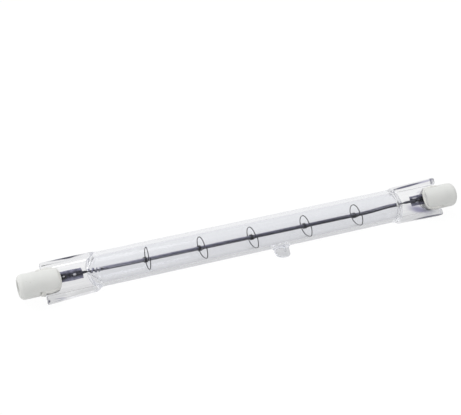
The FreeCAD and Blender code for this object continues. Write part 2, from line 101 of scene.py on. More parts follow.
along = TUBE_RADIUS + STUB_REACH - STUB_END_ROUND
beside = STUB_RADIUS - STUB_END_ROUND
ROLL = math.asin((TUBE_RADIUS - STUB_END_ROUND) / math.hypot(along, beside))
ROLL -= math.atan2(beside, along)
ALONG = (1, 0, 0)
ACROSS = (0, math.cos(ROLL), math.sin(ROLL))
CENTRE = np.array([GLASS_SHIFT, AXIS_Y, AXIS_Z])
print(f"axis at y {AXIS_Y:.3f}, z {AXIS_Z:.3f} mm, rolled by {math.degrees(ROLL):.2f} degrees")


def rotated(y, z, angle):
    """A pair of measures, or of directions, turned from the first towards the second."""
    return y * np.cos(angle) - z * np.sin(angle), y * np.sin(angle) + z * np.cos(angle)


def joined(x, y, z):
    """Points from three arrays of places, each stretched to the shape of the others."""
    return np.stack(np.broadcast_arrays(x, y, z), axis=-1)


def turned(points, angle):
    """Points turned about the X axis, from +Y towards +Z."""
    x, y, z = np.moveaxis(np.asarray(points, dtype=float), -1, 0)
    return joined(x, *rotated(y, z, angle))


def at_rest(points):
    """From the bulb's own frame to its place on the table."""
    return turned(points, ROLL) + CENTRE


def at_end(points, side):
    """From the right-hand end, drawn flat, to one end of the bulb in the bulb's own frame."""
    points = turned(points, SEAL_TWIST)
    if side == "left":
        points = points * np.array([-1, -1, 1])
    return points


def at_cap(points, side):
    """The same for a cap, which sits a little off the tube's axis and off its seal's own place."""
    sign = 1 if side == "left" else -1
    return at_end(points + sign * np.array([GLASS_SHIFT, CAP_SHIFT, 0]), side)


def smooth(share):
    """A share from 0 to 1 that starts and ends without a corner: half a turn of a cosine."""
    return (1 - np.cos(np.pi * np.clip(share, 0, 1))) / 2


# %% [markdown]
# ## From points to pieces
#
# Every shape below is a grid of points: a function of two parameters, worked out for the whole
# grid at once. These helpers turn such grids into closed meshes. Points that fall together, at
# a pole or along a seam, are merged, and then the faces are turned outwards. The hollow inside
# the glass is a shell of its own whose faces look into the hollow, because that is where the
# glass ends.

# %% Mesh helpers
MERGE = 2e-7
CREASE = math.radians(38)


def grid_faces(rows, columns, wrap=False, first=0):
    """Quads between neighbours of a grid. With wrap, its last column meets the first."""
    index = first + np.arange(rows * columns).reshape(rows, columns)
    if wrap:
        index = np.concatenate([index, index[:, :1]], axis=1)
    quads = [index[:-1, :-1], index[:-1, 1:], index[1:, 1:], index[1:, :-1]]
    return np.stack(quads, axis=-1).reshape(-1, 4)


def sheets(*grids):
    """One list of points and faces from several grids of shape (rows, columns, 3)."""
    points, faces, first = [], [], 0
    for grid in grids:
        points.append(grid.reshape(-1, 3))
        faces.append(grid_faces(grid.shape[0], grid.shape[1], first=first))
        first += len(points[-1])
    return np.concatenate(points), np.concatenate(faces)


def closed_shell(points, faces, inward=False):
    """A mesh of one closed surface, merged at its seams and turned outwards or inwards."""
    mesh = bpy.data.meshes.new("shell")
    mesh.from_pydata((at_rest(points) * MM).tolist(), [], faces.tolist())
    shell = bmesh.new()
    shell.from_mesh(mesh)
    bmesh.ops.remove_doubles(shell, verts=shell.verts, dist=MERGE)
    bmesh.ops.recalc_face_normals(shell, faces=shell.faces)
    if inward:
        bmesh.ops.reverse_faces(shell, faces=shell.faces)
    shell.to_mesh(mesh)
    open_edges = sum(not edge.is_manifold for edge in shell.edges)
    shell.free()
    return mesh, open_edges


def new_piece(name, shells, material, stands_for):
    """One object from closed shells in the bulb's own frame, smooth but for its real edges.

    It is turned to its place on the table and takes the place of the packed pieces named last.
    """
    whole = bmesh.new()
    open_edges = 0
    for points, faces, inward in shells:
        mesh, open_here = closed_shell(points, faces, inward)
        whole.from_mesh(mesh)
        open_edges += open_here
        bpy.data.meshes.remove(mesh)
    mesh = bpy.data.meshes.new(name)
    whole.to_mesh(mesh)
    whole.free()
    mesh.shade_smooth()
    mesh.set_sharp_from_angle(angle=CREASE)
    mesh.materials.append(material)
    piece = bpy.data.objects.new(name, mesh)
    bpy.context.scene.collection.objects.link(piece)
    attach(piece, "root")
    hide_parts(*stands_for)
    print(f"{name}: {len(mesh.polygons)} faces, open edges {open_edges}")
    return piece


def lathe(profile, columns, up=0.0):
    """A profile of (x, radius) turned about a line along X, at a height above the axis."""
    x, radius = np.array(profile).T[:, :, None]
    turn = np.linspace(0, 2 * np.pi, columns + 1)
    return sheets(joined(x, radius * np.cos(turn), up + radius * np.sin(turn)))


def rounded(end, radius, size, count=4):
    """Profile points of a quarter round, from the outer surface to the end face."""
    return [(end - size * (1 - math.sin(a)), radius - size * (1 - math.cos(a)))
            for a in np.linspace(0, np.pi / 2, count)]


def wire(path, radius, sides):
    """A round wire along a path that never runs along X for long.

    At each point of the path the tangent and the X axis give a sideways direction, and tangent
    and sideways give an upward one. The surface is the path plus the radius times
    (cos a sideways + sin a upward). Both ends close as small domes. The radius may change along it.
    """
    start, end = path[0], path[-1]
    radius = np.broadcast_to(radius, len(path))
    first = (path[1] - start) / np.linalg.norm(path[1] - start)
    last = (end - path[-2]) / np.linalg.norm(end - path[-2])
    dome = np.radians([0, 30, 60])
    before = start - first * radius[0] * np.cos(dome)[:, None]
    after = end + last * radius[-1] * np.cos(dome[::-1])[:, None]
    spine = np.concatenate([before, path, after])
    girth = np.concatenate([np.sin(dome) * radius[0], radius, np.sin(dome[::-1]) * radius[-1]])
    tangent = np.gradient(spine, axis=0)
    tangent /= np.linalg.norm(tangent, axis=1)[:, None]
    sideways = np.cross(tangent, [1.0, 0.0, 0.0])
    sideways /= np.linalg.norm(sideways, axis=1)[:, None]
    upward = np.cross(sideways, tangent)
    angle = np.linspace(0, 2 * np.pi, sides + 1)[None, :, None]
    reach = np.cos(angle) * sideways[:, None, :] + np.sin(angle) * upward[:, None, :]
    return sheets(spine[:, None, :] + girth[:, None, None] * reach)


print("points within", MERGE, "m merge, edges over", round(math.degrees(CREASE)), "degrees stay")

# %% [markdown]
# ## Finishes
#
# A finish is a small network of shader nodes round the Principled shader. The first helper adds
# and joins nodes, for materials and for the room's light. The second one makes a material and
# knows the patterns. They read Object coordinates, which are the bulb's own metres, so the
# scales of the noises are large numbers: 1000 is about one wave in a millimetre.

# %% Material helpers


class Network:
    """The nodes of a material or of the world, with short ways to add and join them."""

    def __init__(self, owner):
        owner.use_nodes = True
        self.nodes, self.links = owner.node_tree.nodes, owner.node_tree.links

    def put(self, node, sockets):
        """Give each named socket a plain value, or join another node's output to it."""
        for socket, value in sockets.items():
            if isinstance(value, bpy.types.NodeSocket):
                self.links.new(value, node.inputs[socket])
            else:
                node.inputs[socket].default_value = value

    def add(self, kind, sockets=None, **settings):
        node = self.nodes.new("ShaderNode" + kind)
        for name, value in settings.items():
            setattr(node, name, value)
        self.put(node, sockets or {})
        return node

    def worked(self, operation, first, second=0.5, clamp=False):
        """The result of one arithmetic step."""
        step = self.add("Math", {0: first, 1: second}, operation=operation, use_clamp=clamp)
        return step.outputs["Value"]

    def dot(self, vector, direction):
        step = self.add("VectorMath", {0: vector, 1: direction}, operation="DOT_PRODUCT")
        return step.outputs["Value"]

    def spanned(self, value, low=0.0, high=1.0, to_low=0.0, to_high=1.0):
        """A value between two limits, brought to the same share between two others."""
        span = self.add("MapRange", {"Value": value, "From Min": low, "From Max": high,
                                     "To Min": to_low, "To Max": to_high})
        return span.outputs["Result"]

    def ramp(self, value, stops):
        """A value turned into a colour by stops of (place, colour)."""
        ramp = self.add("ValToRGB", {"Fac": value})
        elements = ramp.color_ramp.elements
        while len(elements) < len(stops):
            elements.new(0.5)
        for element, (position, colour) in zip(elements, stops):
            element.position = position
            element.color = (*colour, 1)
        return ramp.outputs["Color"]

    def mixed(self, share, first, second, way="MIX"):
        """Two colours mixed by a share, each a socket or a plain value."""
        mix = self.add("Mix", data_type="RGBA", blend_type=way)
        for name, value in (("Factor", share), ("A", first), ("B", second)):
            target = next(s for s in mix.inputs if s.name == name and s.enabled)
            if isinstance(value, bpy.types.NodeSocket):
                self.links.new(value, target)
            else:
                target.default_value = value if np.isscalar(value) else (*value, 1)
        return next(s for s in mix.outputs if s.enabled)


class Finish(Network):
    """A new material with its Principled shader, and the patterns that the bulb's pieces need."""

    def __init__(self, name, roughness, metallic=0.0, ior=1.5):
        self.material = bpy.data.materials.new(name)
        super().__init__(self.material)
        self.shader = self.nodes["Principled BSDF"]
        self.surface({"Roughness": roughness, "Metallic": metallic, "IOR": ior})
        self.place = self.add("TexCoord").outputs["Object"]

    def surface(self, sockets):
        """Values or patterns on the Principled shader's own sockets."""
        self.put(self.shader, sockets)

    def colour(self, output):
        self.surface({"Base Color": output})

    def noise(self, scale, detail=3.0, stretch=(1, 1, 1)):
        """Cloudy noise, whose scale is multiplied by the stretch along X, Y and Z."""
        stretched = self.add("Mapping", {"Scale": stretch, "Vector": self.place})
        texture = self.add("TexNoise", {"Scale": scale, "Detail": detail, "Roughness": 0.5,
                                        "Vector": stretched.outputs["Vector"]})
        return texture.outputs["Fac"]

    def reach(self, direction, near, far, both_sides=False):
        """0 at one distance from the axis and 1 at another, in millimetres along a direction.

        With both sides alike, the distance has no sign.
        """
        centre = (0, AXIS_Y * MM, AXIS_Z * MM)
        from_axis = self.add("VectorMath", {0: self.place, 1: centre}, operation="SUBTRACT")
        distance = self.dot(from_axis.outputs["Vector"], direction)
        if both_sides:
            distance = self.worked("ABSOLUTE", distance)
        return self.spanned(distance, near * MM, far * MM)

    def spot(self, side, centre, half_lengths, lean, strength):
        """A soft patch: its strength in the middle of an ellipsoid, falling to 0 at its surface.

        Its place is in the flat frame of one end, and it is turned about Z by a lean in degrees.
        """
        half_turn = math.pi if side == "left" else 0
        turn = Matrix.Rotation(ROLL, 3, "X") @ Matrix.Rotation(half_turn, 3, "Z")
        turn = turn @ Matrix.Rotation(SEAL_TWIST, 3, "X")
        turn = turn @ Matrix.Rotation(math.radians(lean), 3, "Z")
        mapping = self.add("Mapping", {
            "Location": at_rest(at_end(np.array(centre), side)) * MM,
            "Rotation": turn.to_euler("XYZ"),
            "Scale": np.array(half_lengths) * MM,
            "Vector": self.place,
        }, vector_type="TEXTURE")
        ball = self.add("TexGradient", {"Vector": mapping.outputs["Vector"]},
                        gradient_type="SPHERICAL")
        return self.worked("MULTIPLY", ball.outputs["Fac"], strength, clamp=True)

    def marked(self, tone, marks):
        """A tone with soft marks on it: side, place, half lengths, lean, strength and colour."""
        for *where, colour in marks:
            tone = self.mixed(self.spot(*where), tone, colour)
        return tone

    def rough(self, value, low, high):
        """Roughness that wanders between two values."""
        self.surface({"Roughness": self.spanned(value, to_low=low, to_high=high)})

    def bump(self, value, strength, distance):
        """Fine relief, with its depth in metres. A second call adds to the first."""
        bump = self.add("Bump", {"Strength": strength, "Distance": distance, "Height": value})
        below = self.shader.inputs["Normal"]
        if below.is_linked:
            self.put(bump, {"Normal": below.links[0].from_socket})
        self.surface({"Normal": bump.outputs["Normal"]})


print("a finish can:", ", ".join(name for name in vars(Finish) if not name.startswith("_")))

# %% [markdown]
# ## The quartz
#
# The whole envelope is one piece of fused quartz. On the real bulb it is a drawn tube. Its ends
# were heated and pressed between jaws, and the thin tube through which the air was pumped out
# was melted off, which leaves the stub. Blender's Glass shader could make it, but the
# Principled shader takes tint, relief and glow as well. It is set to transmit all light and to
# bend it with quartz's own index of 1.458. Its tint has four parts:
#
# - fine lines along the tube from drawing, and stronger ones in the ends from the jaws,
# - painted light and shade in the pressed ends: soft streaks and patches of painted dark
#   reflection, painted shadow and painted highlight, which stand in for how the pressed glass
#   bends the light, and a patch of painted shade on the stub,
# - painted shade on the grazing edges, which stands in for the long way that light runs
#   through the wall there,
# - a faint absorption in the body of the glass.
#
# Two shortcuts keep the glass clear. Light that has bounced in it more than four times would be
# cut off and look black, so the glass glows with a painted white for such rays. And the lamps'
# light goes straight through to the filament and the table, where bent rays would leave grain.

# %% Quartz
QUARTZ_INDEX = 1.458
TINT_CHANGE = (39.5, 42.5)  # the tube's tint gives way to that of the pressed ends
ABSORPTION = 42.0  # per metre
BOUNCES_KEPT = 4.5
PAINTED_GLOW_WHITE = 1.15
THROUGH = 9  # mm, a streak that goes right through the glass

quartz = Finish("clear_quartz", roughness=0.0, ior=QUARTZ_INDEX)
quartz.surface({"Transmission Weight": 1.0})
draw_lines = quartz.noise(900, detail=2, stretch=(0.02, 1, 1))
tube_cast = quartz.ramp(draw_lines, [(0.3, (0.885, 0.89, 0.91)), (0.7, (0.915, 0.92, 0.935))])
press_lines = quartz.noise(1700, detail=2, stretch=(0.06, 1, 1))
seal_cast = quartz.ramp(press_lines, [(0.35, (0.85, 0.855, 0.87)), (0.6, (0.935, 0.935, 0.94))])
cast = quartz.mixed(quartz.reach(ALONG, *TINT_CHANGE, both_sides=True), tube_cast, seal_cast)

# colours of painted light and shade: dark reflections, shadows, highlights and the stub's shade
PAINTED_DARK_REFLECTION, PAINTED_VIOLET_SHADE, PAINTED_HIGHLIGHT = (0.025, 0.025, 0.05), (0.34, 0.33, 0.46), (1.0, 1.0, 1.0)
DEEPEST_PAINTED_DARK, PAINTED_DUSKY_SHADE, PAINTED_STUB_SHADE = (0.003, 0.003, 0.008), (0.25, 0.26, 0.31), (0.84, 0.85, 0.87)
# side, place, half lengths, lean, strength and colour of each patch of painted light and shade
PAINTED_LIGHT_AND_SHADE = [
    ("left", (46.6, -4.15, 1.25), (5.4, 0.42, 0.6), 0, 2.0, PAINTED_DARK_REFLECTION),
    ("left", (46.0, -4.15, 1.2), (2.2, 0.5, 0.8), 0, 3.0, DEEPEST_PAINTED_DARK),
    ("left", (52.75, 5.3, 0), (0.45, 0.45, THROUGH), 0, 1.8, PAINTED_DARK_REFLECTION),
    ("left", (47.1, 4.6, 0), (1.7, 0.34, THROUGH), 0, 3.0, PAINTED_HIGHLIGHT),
    ("left", (49.8, 5.2, 1.45), (1.9, 0.16, 0.5), -4.7, 1.4, PAINTED_VIOLET_SHADE),
    ("left", (48.6, 5.62, 0.9), (3.6, 0.2, 0.5), -3, 1.6, PAINTED_VIOLET_SHADE),
    ("left", (46.6, 4.15, 0), (3.2, 0.3, THROUGH), 0, 1.6, PAINTED_HIGHLIGHT),
    ("right", (49.6, 4.25, 1.45), (4.4, 0.36, 0.5), 3, 2.0, PAINTED_VIOLET_SHADE),
    ("right", (44.7, 4.02, 1.45), (5.2, 0.36, 0.5), 3, 2.6, PAINTED_DARK_REFLECTION),
    ("right", (40.8, 3.75, 1.0), (0.6, 0.4, 1.2), 0, 1.6, PAINTED_DARK_REFLECTION),
    ("right", (52.7, 4.3, 0), (0.5, 0.8, THROUGH), 0, 1.2, PAINTED_DARK_REFLECTION),
    ("right", (48.7, -5.04, 1.1), (5.8, 0.35, 0.6), -1, 2.5, PAINTED_DARK_REFLECTION),
    ("right", (52.7, -5.0, 0), (0.6, 0.4, THROUGH), 0, 1.2, PAINTED_DARK_REFLECTION),
    ("right", (46.9, -2.6, 0), (4.2, 1.3, THROUGH), -24, 1.5, PAINTED_VIOLET_SHADE),
    ("right", (47.6, -2.9, 0), (2.6, 0.6, THROUGH), -24, 2.0, PAINTED_VIOLET_SHADE),
    ("right", (48.9, -3.25, 0), (2.4, 0.6, THROUGH), -24, 1.2, PAINTED_DUSKY_SHADE),
    ("right", (48.3, 1.9, 0), (1.3, 0.6, THROUGH), 0, 0.4, PAINTED_VIOLET_SHADE),
    ("right", (STUB_X, -6.2, 0), (3.0, 2.2, 3.0), 0, 1.6, PAINTED_STUB_SHADE),
]
# the painted light and shade laid over the glass's tint
cast = quartz.marked(cast, PAINTED_LIGHT_AND_SHADE)

# painted shade: the glass's colour darkens where its surface is seen edge-on
facing = quartz.add("LayerWeight", {"Blend": 0.5}).outputs["Facing"]
painted_edge_shade = quartz.ramp(facing, [(0.4, (1, 1, 1)), (0.62, (0.94, 0.94, 0.945)),
                               (1.0, (0.72, 0.72, 0.75))])
quartz.colour(quartz.mixed(1.0, cast, painted_edge_shade, "MULTIPLY"))
body = quartz.add("VolumeAbsorption", {"Color": (0.5, 0.51, 0.56, 1), "Density": ABSORPTION})

paths = quartz.add("LightPath").outputs
# painted light: the glass glows white for rays that have bounced in it more than four times
trapped = quartz.worked("GREATER_THAN", paths["Glossy Depth"], BOUNCES_KEPT)
quartz.surface({"Emission Strength": trapped, "Emission Color": (*[PAINTED_GLOW_WHITE] * 3, 1)})
clear = quartz.add("BsdfTransparent", {"Color": (0.95, 0.95, 0.96, 1)})
for_lamps = quartz.add("MixShader", {
    "Fac": paths["Is Shadow Ray"], 1: quartz.shader.outputs["BSDF"], 2: clear.outputs["BSDF"]})
quartz.put(quartz.nodes["Material Output"], {"Surface": for_lamps.outputs["Shader"],
                                             "Volume": body.outputs["Volume"]})
quartz.bump(draw_lines, 0.25, 0.00002)
quartz.bump(quartz.noise(260, detail=1), 0.3, 0.00006)
print("quartz index", QUARTZ_INDEX, "with", len(PAINTED_LIGHT_AND_SHADE), "streaks")

# %% [markdown]
# ### Its outside
#
# The outside could be modelled by hand from a subdivided cylinder. A formula is used here,
# because it keeps rims, web and tube as wide as they were measured, and because glass shows
# every uneven facet.
#
# It is one grid. Its rows are stations along X and its columns go round. At each station a
# point is a blend between two outlines: the tube's circle, and the outline of the pressed end,
# a thin web between two thick rims. Each point moves from the first to the second by a cosine,
# so there is no crease, and the points at the sides start earlier and arrive sooner than those
# in the middle. That is how pressed glass flows: the rims swell out of the tube's sides at
# once, while the middle slopes down slowly.

# %% Outlines of tube and seal
COLUMNS = 128
RIM_HALF_THICKNESS = 1.45
RIM_ROUND = 0.55
WEB_HALF_THICKNESS = 0.9
GROOVE_SLOPE = 0.9
SHOULDER_END = 1.6
CORNER_TURN = math.radians(26.7)
# reach from the axis, for the rim on the stub's side and the far one: at the shoulder, at the
# cut end, and of the rim's inner face
RIMS = {"left": ((5.1, 5.7, 4.15), (4.4, 4.3, 3.15)),
        "right": ((4.9, 5.2, 3.75), (4.6, 4.9, 3.4))}


def rim_reach(x, turn):
    """Reach of the rim's outer and inner face at a station, for the side that a turn looks to."""
    values = np.array([[RIMS[side][rim] for rim in (0, 1)] for side in ("left", "right")])
    right_end = (x > 0).astype(int) + 0 * turn.astype(int)
    far_rim = (np.cos(turn) > 0).astype(int) + 0 * x.astype(int)
    root, end, inner = np.moveaxis(values[right_end, far_rim], -1, 0)
    shoulder = NECK_START + SHOULDER_END
    share = np.clip((np.abs(x) - shoulder) / (SEAL_END - shoulder), 0, 1)
    return root + (end - root) * share, inner


def seal_outline(x, turn):
    """One quarter is a straight side, a round corner and a top whose height steps down to the web.

    On the top, y is the corner's y times cos(turn) / cos(turn at the corner), and the height is
    the web's plus a cosine step up to the rim's. The other quarters mirror it, with the reach of
    their own rim.
    """
    reach, inner = rim_reach(x, turn)
    quarter = np.arctan2(np.abs(np.sin(turn)), np.abs(np.cos(turn)))
    corner_y = reach - RIM_ROUND
    straight = RIM_HALF_THICKNESS - RIM_ROUND
    edge_length = straight + RIM_ROUND * np.pi / 2

    walked = np.clip(quarter / CORNER_TURN, 0, 1) * edge_length
    bend = np.clip((walked - straight) / RIM_ROUND, 0, np.pi / 2)
    side_y = corner_y + RIM_ROUND * np.cos(bend)
    side_z = np.minimum(walked, straight) + RIM_ROUND * np.sin(bend)

    top_y = corner_y * np.cos(quarter) / math.cos(CORNER_TURN)
    step = smooth((top_y - inner) / GROOVE_SLOPE + 0.5)
    top_z = WEB_HALF_THICKNESS + (RIM_HALF_THICKNESS - WEB_HALF_THICKNESS) * step

    on_top = quarter > CORNER_TURN
    y = np.where(on_top, top_y, side_y) * np.sign(np.cos(turn))
    z = np.where(on_top, top_z, side_z) * np.sign(np.sin(turn))
    return y, z


turns = np.linspace(0, 2 * np.pi, COLUMNS, endpoint=False)
left_reach = -seal_outline(np.array([-SEAL_END]), turns)[0].min()
print("left seal outline reaches", left_reach.round(3), "mm towards the stub's side")

# %% [markdown]
# ### The stub and how it joins
#
# The stub stands on the tube's side, so the grid has a square hole there, and a round patch
# fills it. The patch is rings round the stub's own axis. The first ring is the hole's edge, the
# next ones turn from a square into a circle on the tube's surface, and the others climb the
# stub: a hollow foot, a short neck and a melted round end. A boolean union would leave a hard
# seam there instead. Hot glass sags to one side, so the stub is a wedge that is wider towards
# -X, most just above its foot. The same function drills the fine channel that is left inside
# the stub, by rings that go outwards from the bore.

# %% A skin with a patch round the stub's axis
LEAN_SHARPNESS = 2.5


def stub_patch(edge, radius, rings, lean_side):
    """Rings from the edge of a square hole in a round tube to a pole on the stub's axis.

    The edge is given as x and arc length from the axis. A ring is (share of the way from the
    edge to the round, radius, height, straightness). Height goes outwards along the stub's
    axis. Straightness 0 keeps to the tube's round surface, and 1 is level across the stub. On the
    side towards -X each ring is wider by a share that lean_side gives as (heights, shares).
    """
    share, ring, height, level = (column[:, None] for column in np.array(rings).T)
    heading = np.arctan2(edge[:, 1], edge[:, 0])[None, :]
    reach = np.hypot(edge[:, 0], edge[:, 1])[None, :] * (1 - share) + ring * share
    swell = np.interp(height, *lean_side) * np.clip(-np.cos(heading), 0, 1) ** LEAN_SHARPNESS
    reach = reach * (1 + share * swell)
    x = STUB_X + reach * np.cos(heading)
    arc = reach * np.sin(heading)
    across = (1 - level) * radius * np.sin(arc / radius) + level * arc
    out = (1 - level) * radius * np.cos(arc / radius) + level * radius + height
    return joined(x, -out, -across)


def drilled_skin(stations, outline, radius, half_cells, rings, lean_side):
    """A grid along X and round the tube, with the patch in place of a square block of cells.

    The outline function gives y and z for a column of stations and a row of turns.
    """
    cell = 2 * np.pi * radius / COLUMNS
    block = STUB_X + cell * np.arange(-half_cells, half_cells + 1)
    rows = np.concatenate([stations[stations < block[0] - cell], block,
                           stations[stations > block[-1] + cell]])
    points = joined(rows[:, None], *outline(rows[:, None], turns[None, :]))
    faces = grid_faces(len(rows), COLUMNS, wrap=True).reshape(len(rows) - 1, COLUMNS, 4)
    top = np.searchsorted(rows, block[0] - cell / 2)
    left = COLUMNS // 2 - half_cells
    kept = np.ones(faces.shape[:2], dtype=bool)
    kept[top:top + 2 * half_cells, left:left + 2 * half_cells] = False

    side = cell * np.arange(-half_cells, half_cells)
    low, high = np.full_like(side, side[0]), np.full_like(side, -side[0])
    edge = np.concatenate([np.stack([low, side], 1), np.stack([side, high], 1),
                           np.stack([high, -side], 1), np.stack([-side, low], 1)])
    patch = stub_patch(edge, radius, rings, lean_side)
    first = len(rows) * COLUMNS
    patch_faces = grid_faces(patch.shape[0], patch.shape[1], wrap=True, first=first)
    all_points = np.concatenate([points.reshape(-1, 3), patch.reshape(-1, 3)])
    return all_points, np.concatenate([faces[kept], patch_faces])


print("the stub stands", STUB_REACH, "mm out of the tube, at", STUB_X, "mm from its middle")

# %% [markdown]
# ### Putting the outside together
#
# The stations lie close where the glass changes and far apart where it is plain. A short twist
# is worked in as well: the two ends were pressed one after the other, and on this bulb they are
# turned a few degrees from each other.

# %% Outside of the quartz
END_ROUND = 0.35
END_HALF_WIDTH = 5.0
TWIST_START = 20.0
ROUND_STEPS = 6
NECK_LENGTH, SIDES_EARLIER, SIDES_SOONER = 3.4, 0.35, 1.9


def twisted(x, y, z):
    """An outline turned about the axis, by an angle that grows towards the ends."""
    share = smooth((np.abs(x) - TWIST_START) / (NECK_START - 1 - TWIST_START))
    return rotated(y, z, SEAL_TWIST * np.sign(x) * share)


def outside(x, turn):
    """Circle and seal outline blended by a cosine, twisted towards the ends, rounded at the cut."""
    far = np.abs(x)
    side = np.abs(np.cos(turn))
    start = NECK_START - SIDES_EARLIER * side
    end = NECK_START + NECK_LENGTH - SIDES_SOONER * side ** 2
    share = smooth((far - start) / (end - start))
    flat_y, flat_z = seal_outline(x, turn)
    y = (1 - share) * TUBE_RADIUS * np.cos(turn) + share * flat_y
    z = (1 - share) * TUBE_RADIUS * np.sin(turn) + share * flat_z
    past = np.clip(far - SEAL_END + END_ROUND, 0, END_ROUND)
    inset = END_ROUND - np.sqrt(END_ROUND ** 2 - past ** 2)
    return twisted(x, y * (1 - inset / END_HALF_WIDTH), z * (1 - inset / RIM_HALF_THICKNESS))


def mirrored(places):
    """Stations for both ends from those of the right-hand end."""
    return np.concatenate([-places[::-1], places])


rounding = SEAL_END - END_ROUND + END_ROUND * np.sin(np.radians(np.arange(0, 91, 15)))
right_half = np.concatenate([
    np.arange(1.0, NECK_START - 1, 1.6),
    np.arange(NECK_START - 0.6, 43.4, 0.12),
    np.arange(43.6, SEAL_END - END_ROUND - 0.3, 0.7),
    rounding,
])
foot_reach = STUB_RADIUS + STUB_FOOT_ROUND
stub_rings = [(0, 0, 0, 0), (0.3, foot_reach, 0, 0), (0.65, foot_reach, 0, 0)]
stub_rings += [(1, foot_reach - STUB_FOOT_ROUND * math.sin(a),
                STUB_FOOT_ROUND * (1 - math.cos(a)), smooth(a / (np.pi / 2)))
               for a in np.linspace(0, np.pi / 2, ROUND_STEPS)]
stub_rings += [(1, STUB_RADIUS, height, 1) for height in (1.15, 1.45, 1.75)]
melted = rounded(STUB_REACH, STUB_RADIUS, STUB_END_ROUND, ROUND_STEPS)
stub_rings += [(1, radius, height, 1) for height, radius in [*melted, (STUB_REACH, 0.25)]]
stub_rings += [(1, 0, STUB_REACH, 1)]
STUB_WEDGE = ((0, 0.4, 0.85, 1.5, 2.0, 2.4, 2.75), (0.75, 0.92, 1.1, 1.0, 0.85, 0.55, 0.15))
skin_points, skin_faces = drilled_skin(mirrored(right_half), outside, TUBE_RADIUS, 16,
                                       stub_rings, STUB_WEDGE)


def cut_face(end):
    """The flat face at the end of a seal: strips between each point and its mirror below."""
    row = np.where(np.isclose(skin_points[:, 0], end))[0][:COLUMNS]
    half = np.arange(0, COLUMNS // 2)
    corners = [row[half], row[half + 1], row[(-half - 1) % COLUMNS], row[(-half) % COLUMNS]]
    return np.stack(corners, axis=-1)


skin_faces = np.concatenate([skin_faces, cut_face(SEAL_END), cut_face(-SEAL_END)])
print("outside:", len(skin_points), "points")

# %% [markdown]
# ### The hollow
#
# The bore is the tube's clear inside, filled with gas on the real bulb. Where the tube was
# pressed, it narrows to a flat slit and ends just before the foil. Without this inner skin the
# tube would bend light like a solid rod. It is the same kind of grid: circles whose two half
# axes shrink by a cosine, then a small rounded end.

# %% Inside of the quartz
BORE_END = NECK_START + 2.7
SLIT_HALF_WIDTH = 0.85
SLIT_HALF_HEIGHT = 0.42
SLIT_ROUND = 0.35
CHANNEL_RADIUS = 0.35
CHANNEL_DEPTH = 2.5
NO_LEAN = ((0, STUB_REACH), (0, 0))


def inside(x, turn):
    """An ellipse whose half axes fall from the bore's radius to the slit's, closed by a dome."""
    far = np.abs(x)
    share = smooth((far - NECK_START) / (BORE_END - NECK_START))
    dome = np.sqrt(1 - (np.clip(far - BORE_END, 0, SLIT_ROUND) / SLIT_ROUND) ** 2)
    wide = (BORE_RADIUS * (1 - share) + SLIT_HALF_WIDTH * share) * dome
    high = (BORE_RADIUS * (1 - share) + SLIT_HALF_HEIGHT * share) * dome
    return twisted(x, wide * np.cos(turn), high * np.sin(turn))


slit_end = BORE_END + SLIT_ROUND * np.sin(np.radians(np.arange(15, 91, 15)))
bore_half = np.concatenate([np.arange(1.0, NECK_START - 1, 1.6),
                            np.linspace(NECK_START - 0.5, BORE_END, 28), slit_end])
channel_dome = rounded(CHANNEL_DEPTH, CHANNEL_RADIUS, CHANNEL_RADIUS)
channel_rings = [(0, 0, 0, 0), (0.5, 0.5, 0, 0), (1, 0.5, 0, 0), (1, 0.42, 0.04, 0.3),
                 (1, CHANNEL_RADIUS, 0.13, 0.7)]
channel_rings += [(1, CHANNEL_RADIUS, height, 1)
                  for height in np.linspace(0.3, channel_dome[0][0], 6)]
channel_rings += [(1, radius, height, 1) for height, radius in channel_dome[1:]]
bore_points, bore_faces = drilled_skin(mirrored(bore_half), inside, BORE_RADIUS, 5,
                                       channel_rings, NO_LEAN)

new_piece("quartz_body", [(skin_points, skin_faces, False), (bore_points, bore_faces, True)],
          quartz.material, ["quartz_envelope"])

# %% [markdown]
# ## The filament
#
# The filament is tungsten wire wound into a long close coil. At each end its last turns are
# thicker, pulled open and wound onto the wire that brings the current in. Blender's Screw
# modifier or a bevelled curve could wind it, but not with a pitch, a width and a thickness that
# all change. So it is one path: an angle that grows evenly, a radius, and a place along X that
# grows by the pitch with each turn. The pitch is small in the coil and large in the open turns,
# and both change over one turn. The coil has sagged a little, more towards +X. Its colour is
# darker to the right and lighter to the left, and a painted shade darkens its stub's side.

# %% Filament coil
SAG = turned(np.array([0, -0.16, -0.14]), -ROLL)
SAG_IN_MIDDLE, SAG_GROWTH = 1.15, 0.017
SAG_FADE_START, SAG_FADE_LENGTH = 31, 8


def sagged(points, along_x):
    """Points moved by the sag, which grows towards +X and falls to nothing at the leads."""
    share = SAG_IN_MIDDLE + SAG_GROWTH * along_x
    share = share * (1 - smooth((np.abs(along_x) - SAG_FADE_START) / SAG_FADE_LENGTH))
    return points + share[:, None] * SAG


COIL_WIRE, COIL_OUTER, COIL_PITCH = 0.19, 0.5, 0.25
TAIL_WIRE, TAIL_OUTER, TAIL_PITCH = 0.36, 0.68, 1.0
COIL_START, COIL_END = -38.3, 41.0
TAIL_TURNS_LEFT, TAIL_TURNS_RIGHT = 3.4, 0.8
LEAD_DROP = -0.075
STEPS_PER_TURN, WIRE_SIDES = 14, 6

coil_turns = (COIL_END - COIL_START) / COIL_PITCH
total_turns = TAIL_TURNS_LEFT + coil_turns + TAIL_TURNS_RIGHT
winding = np.arange(0, total_turns, 1 / STEPS_PER_TURN)
in_coil = smooth(winding - TAIL_TURNS_LEFT + 0.5)
in_coil = in_coil * smooth(TAIL_TURNS_LEFT + coil_turns - winding + 0.5)


def tail_to_coil(tail, coil):
    """A measure at each point of the path, from its values in the open turns and in the coil."""
    return tail + (coil - tail) * in_coil


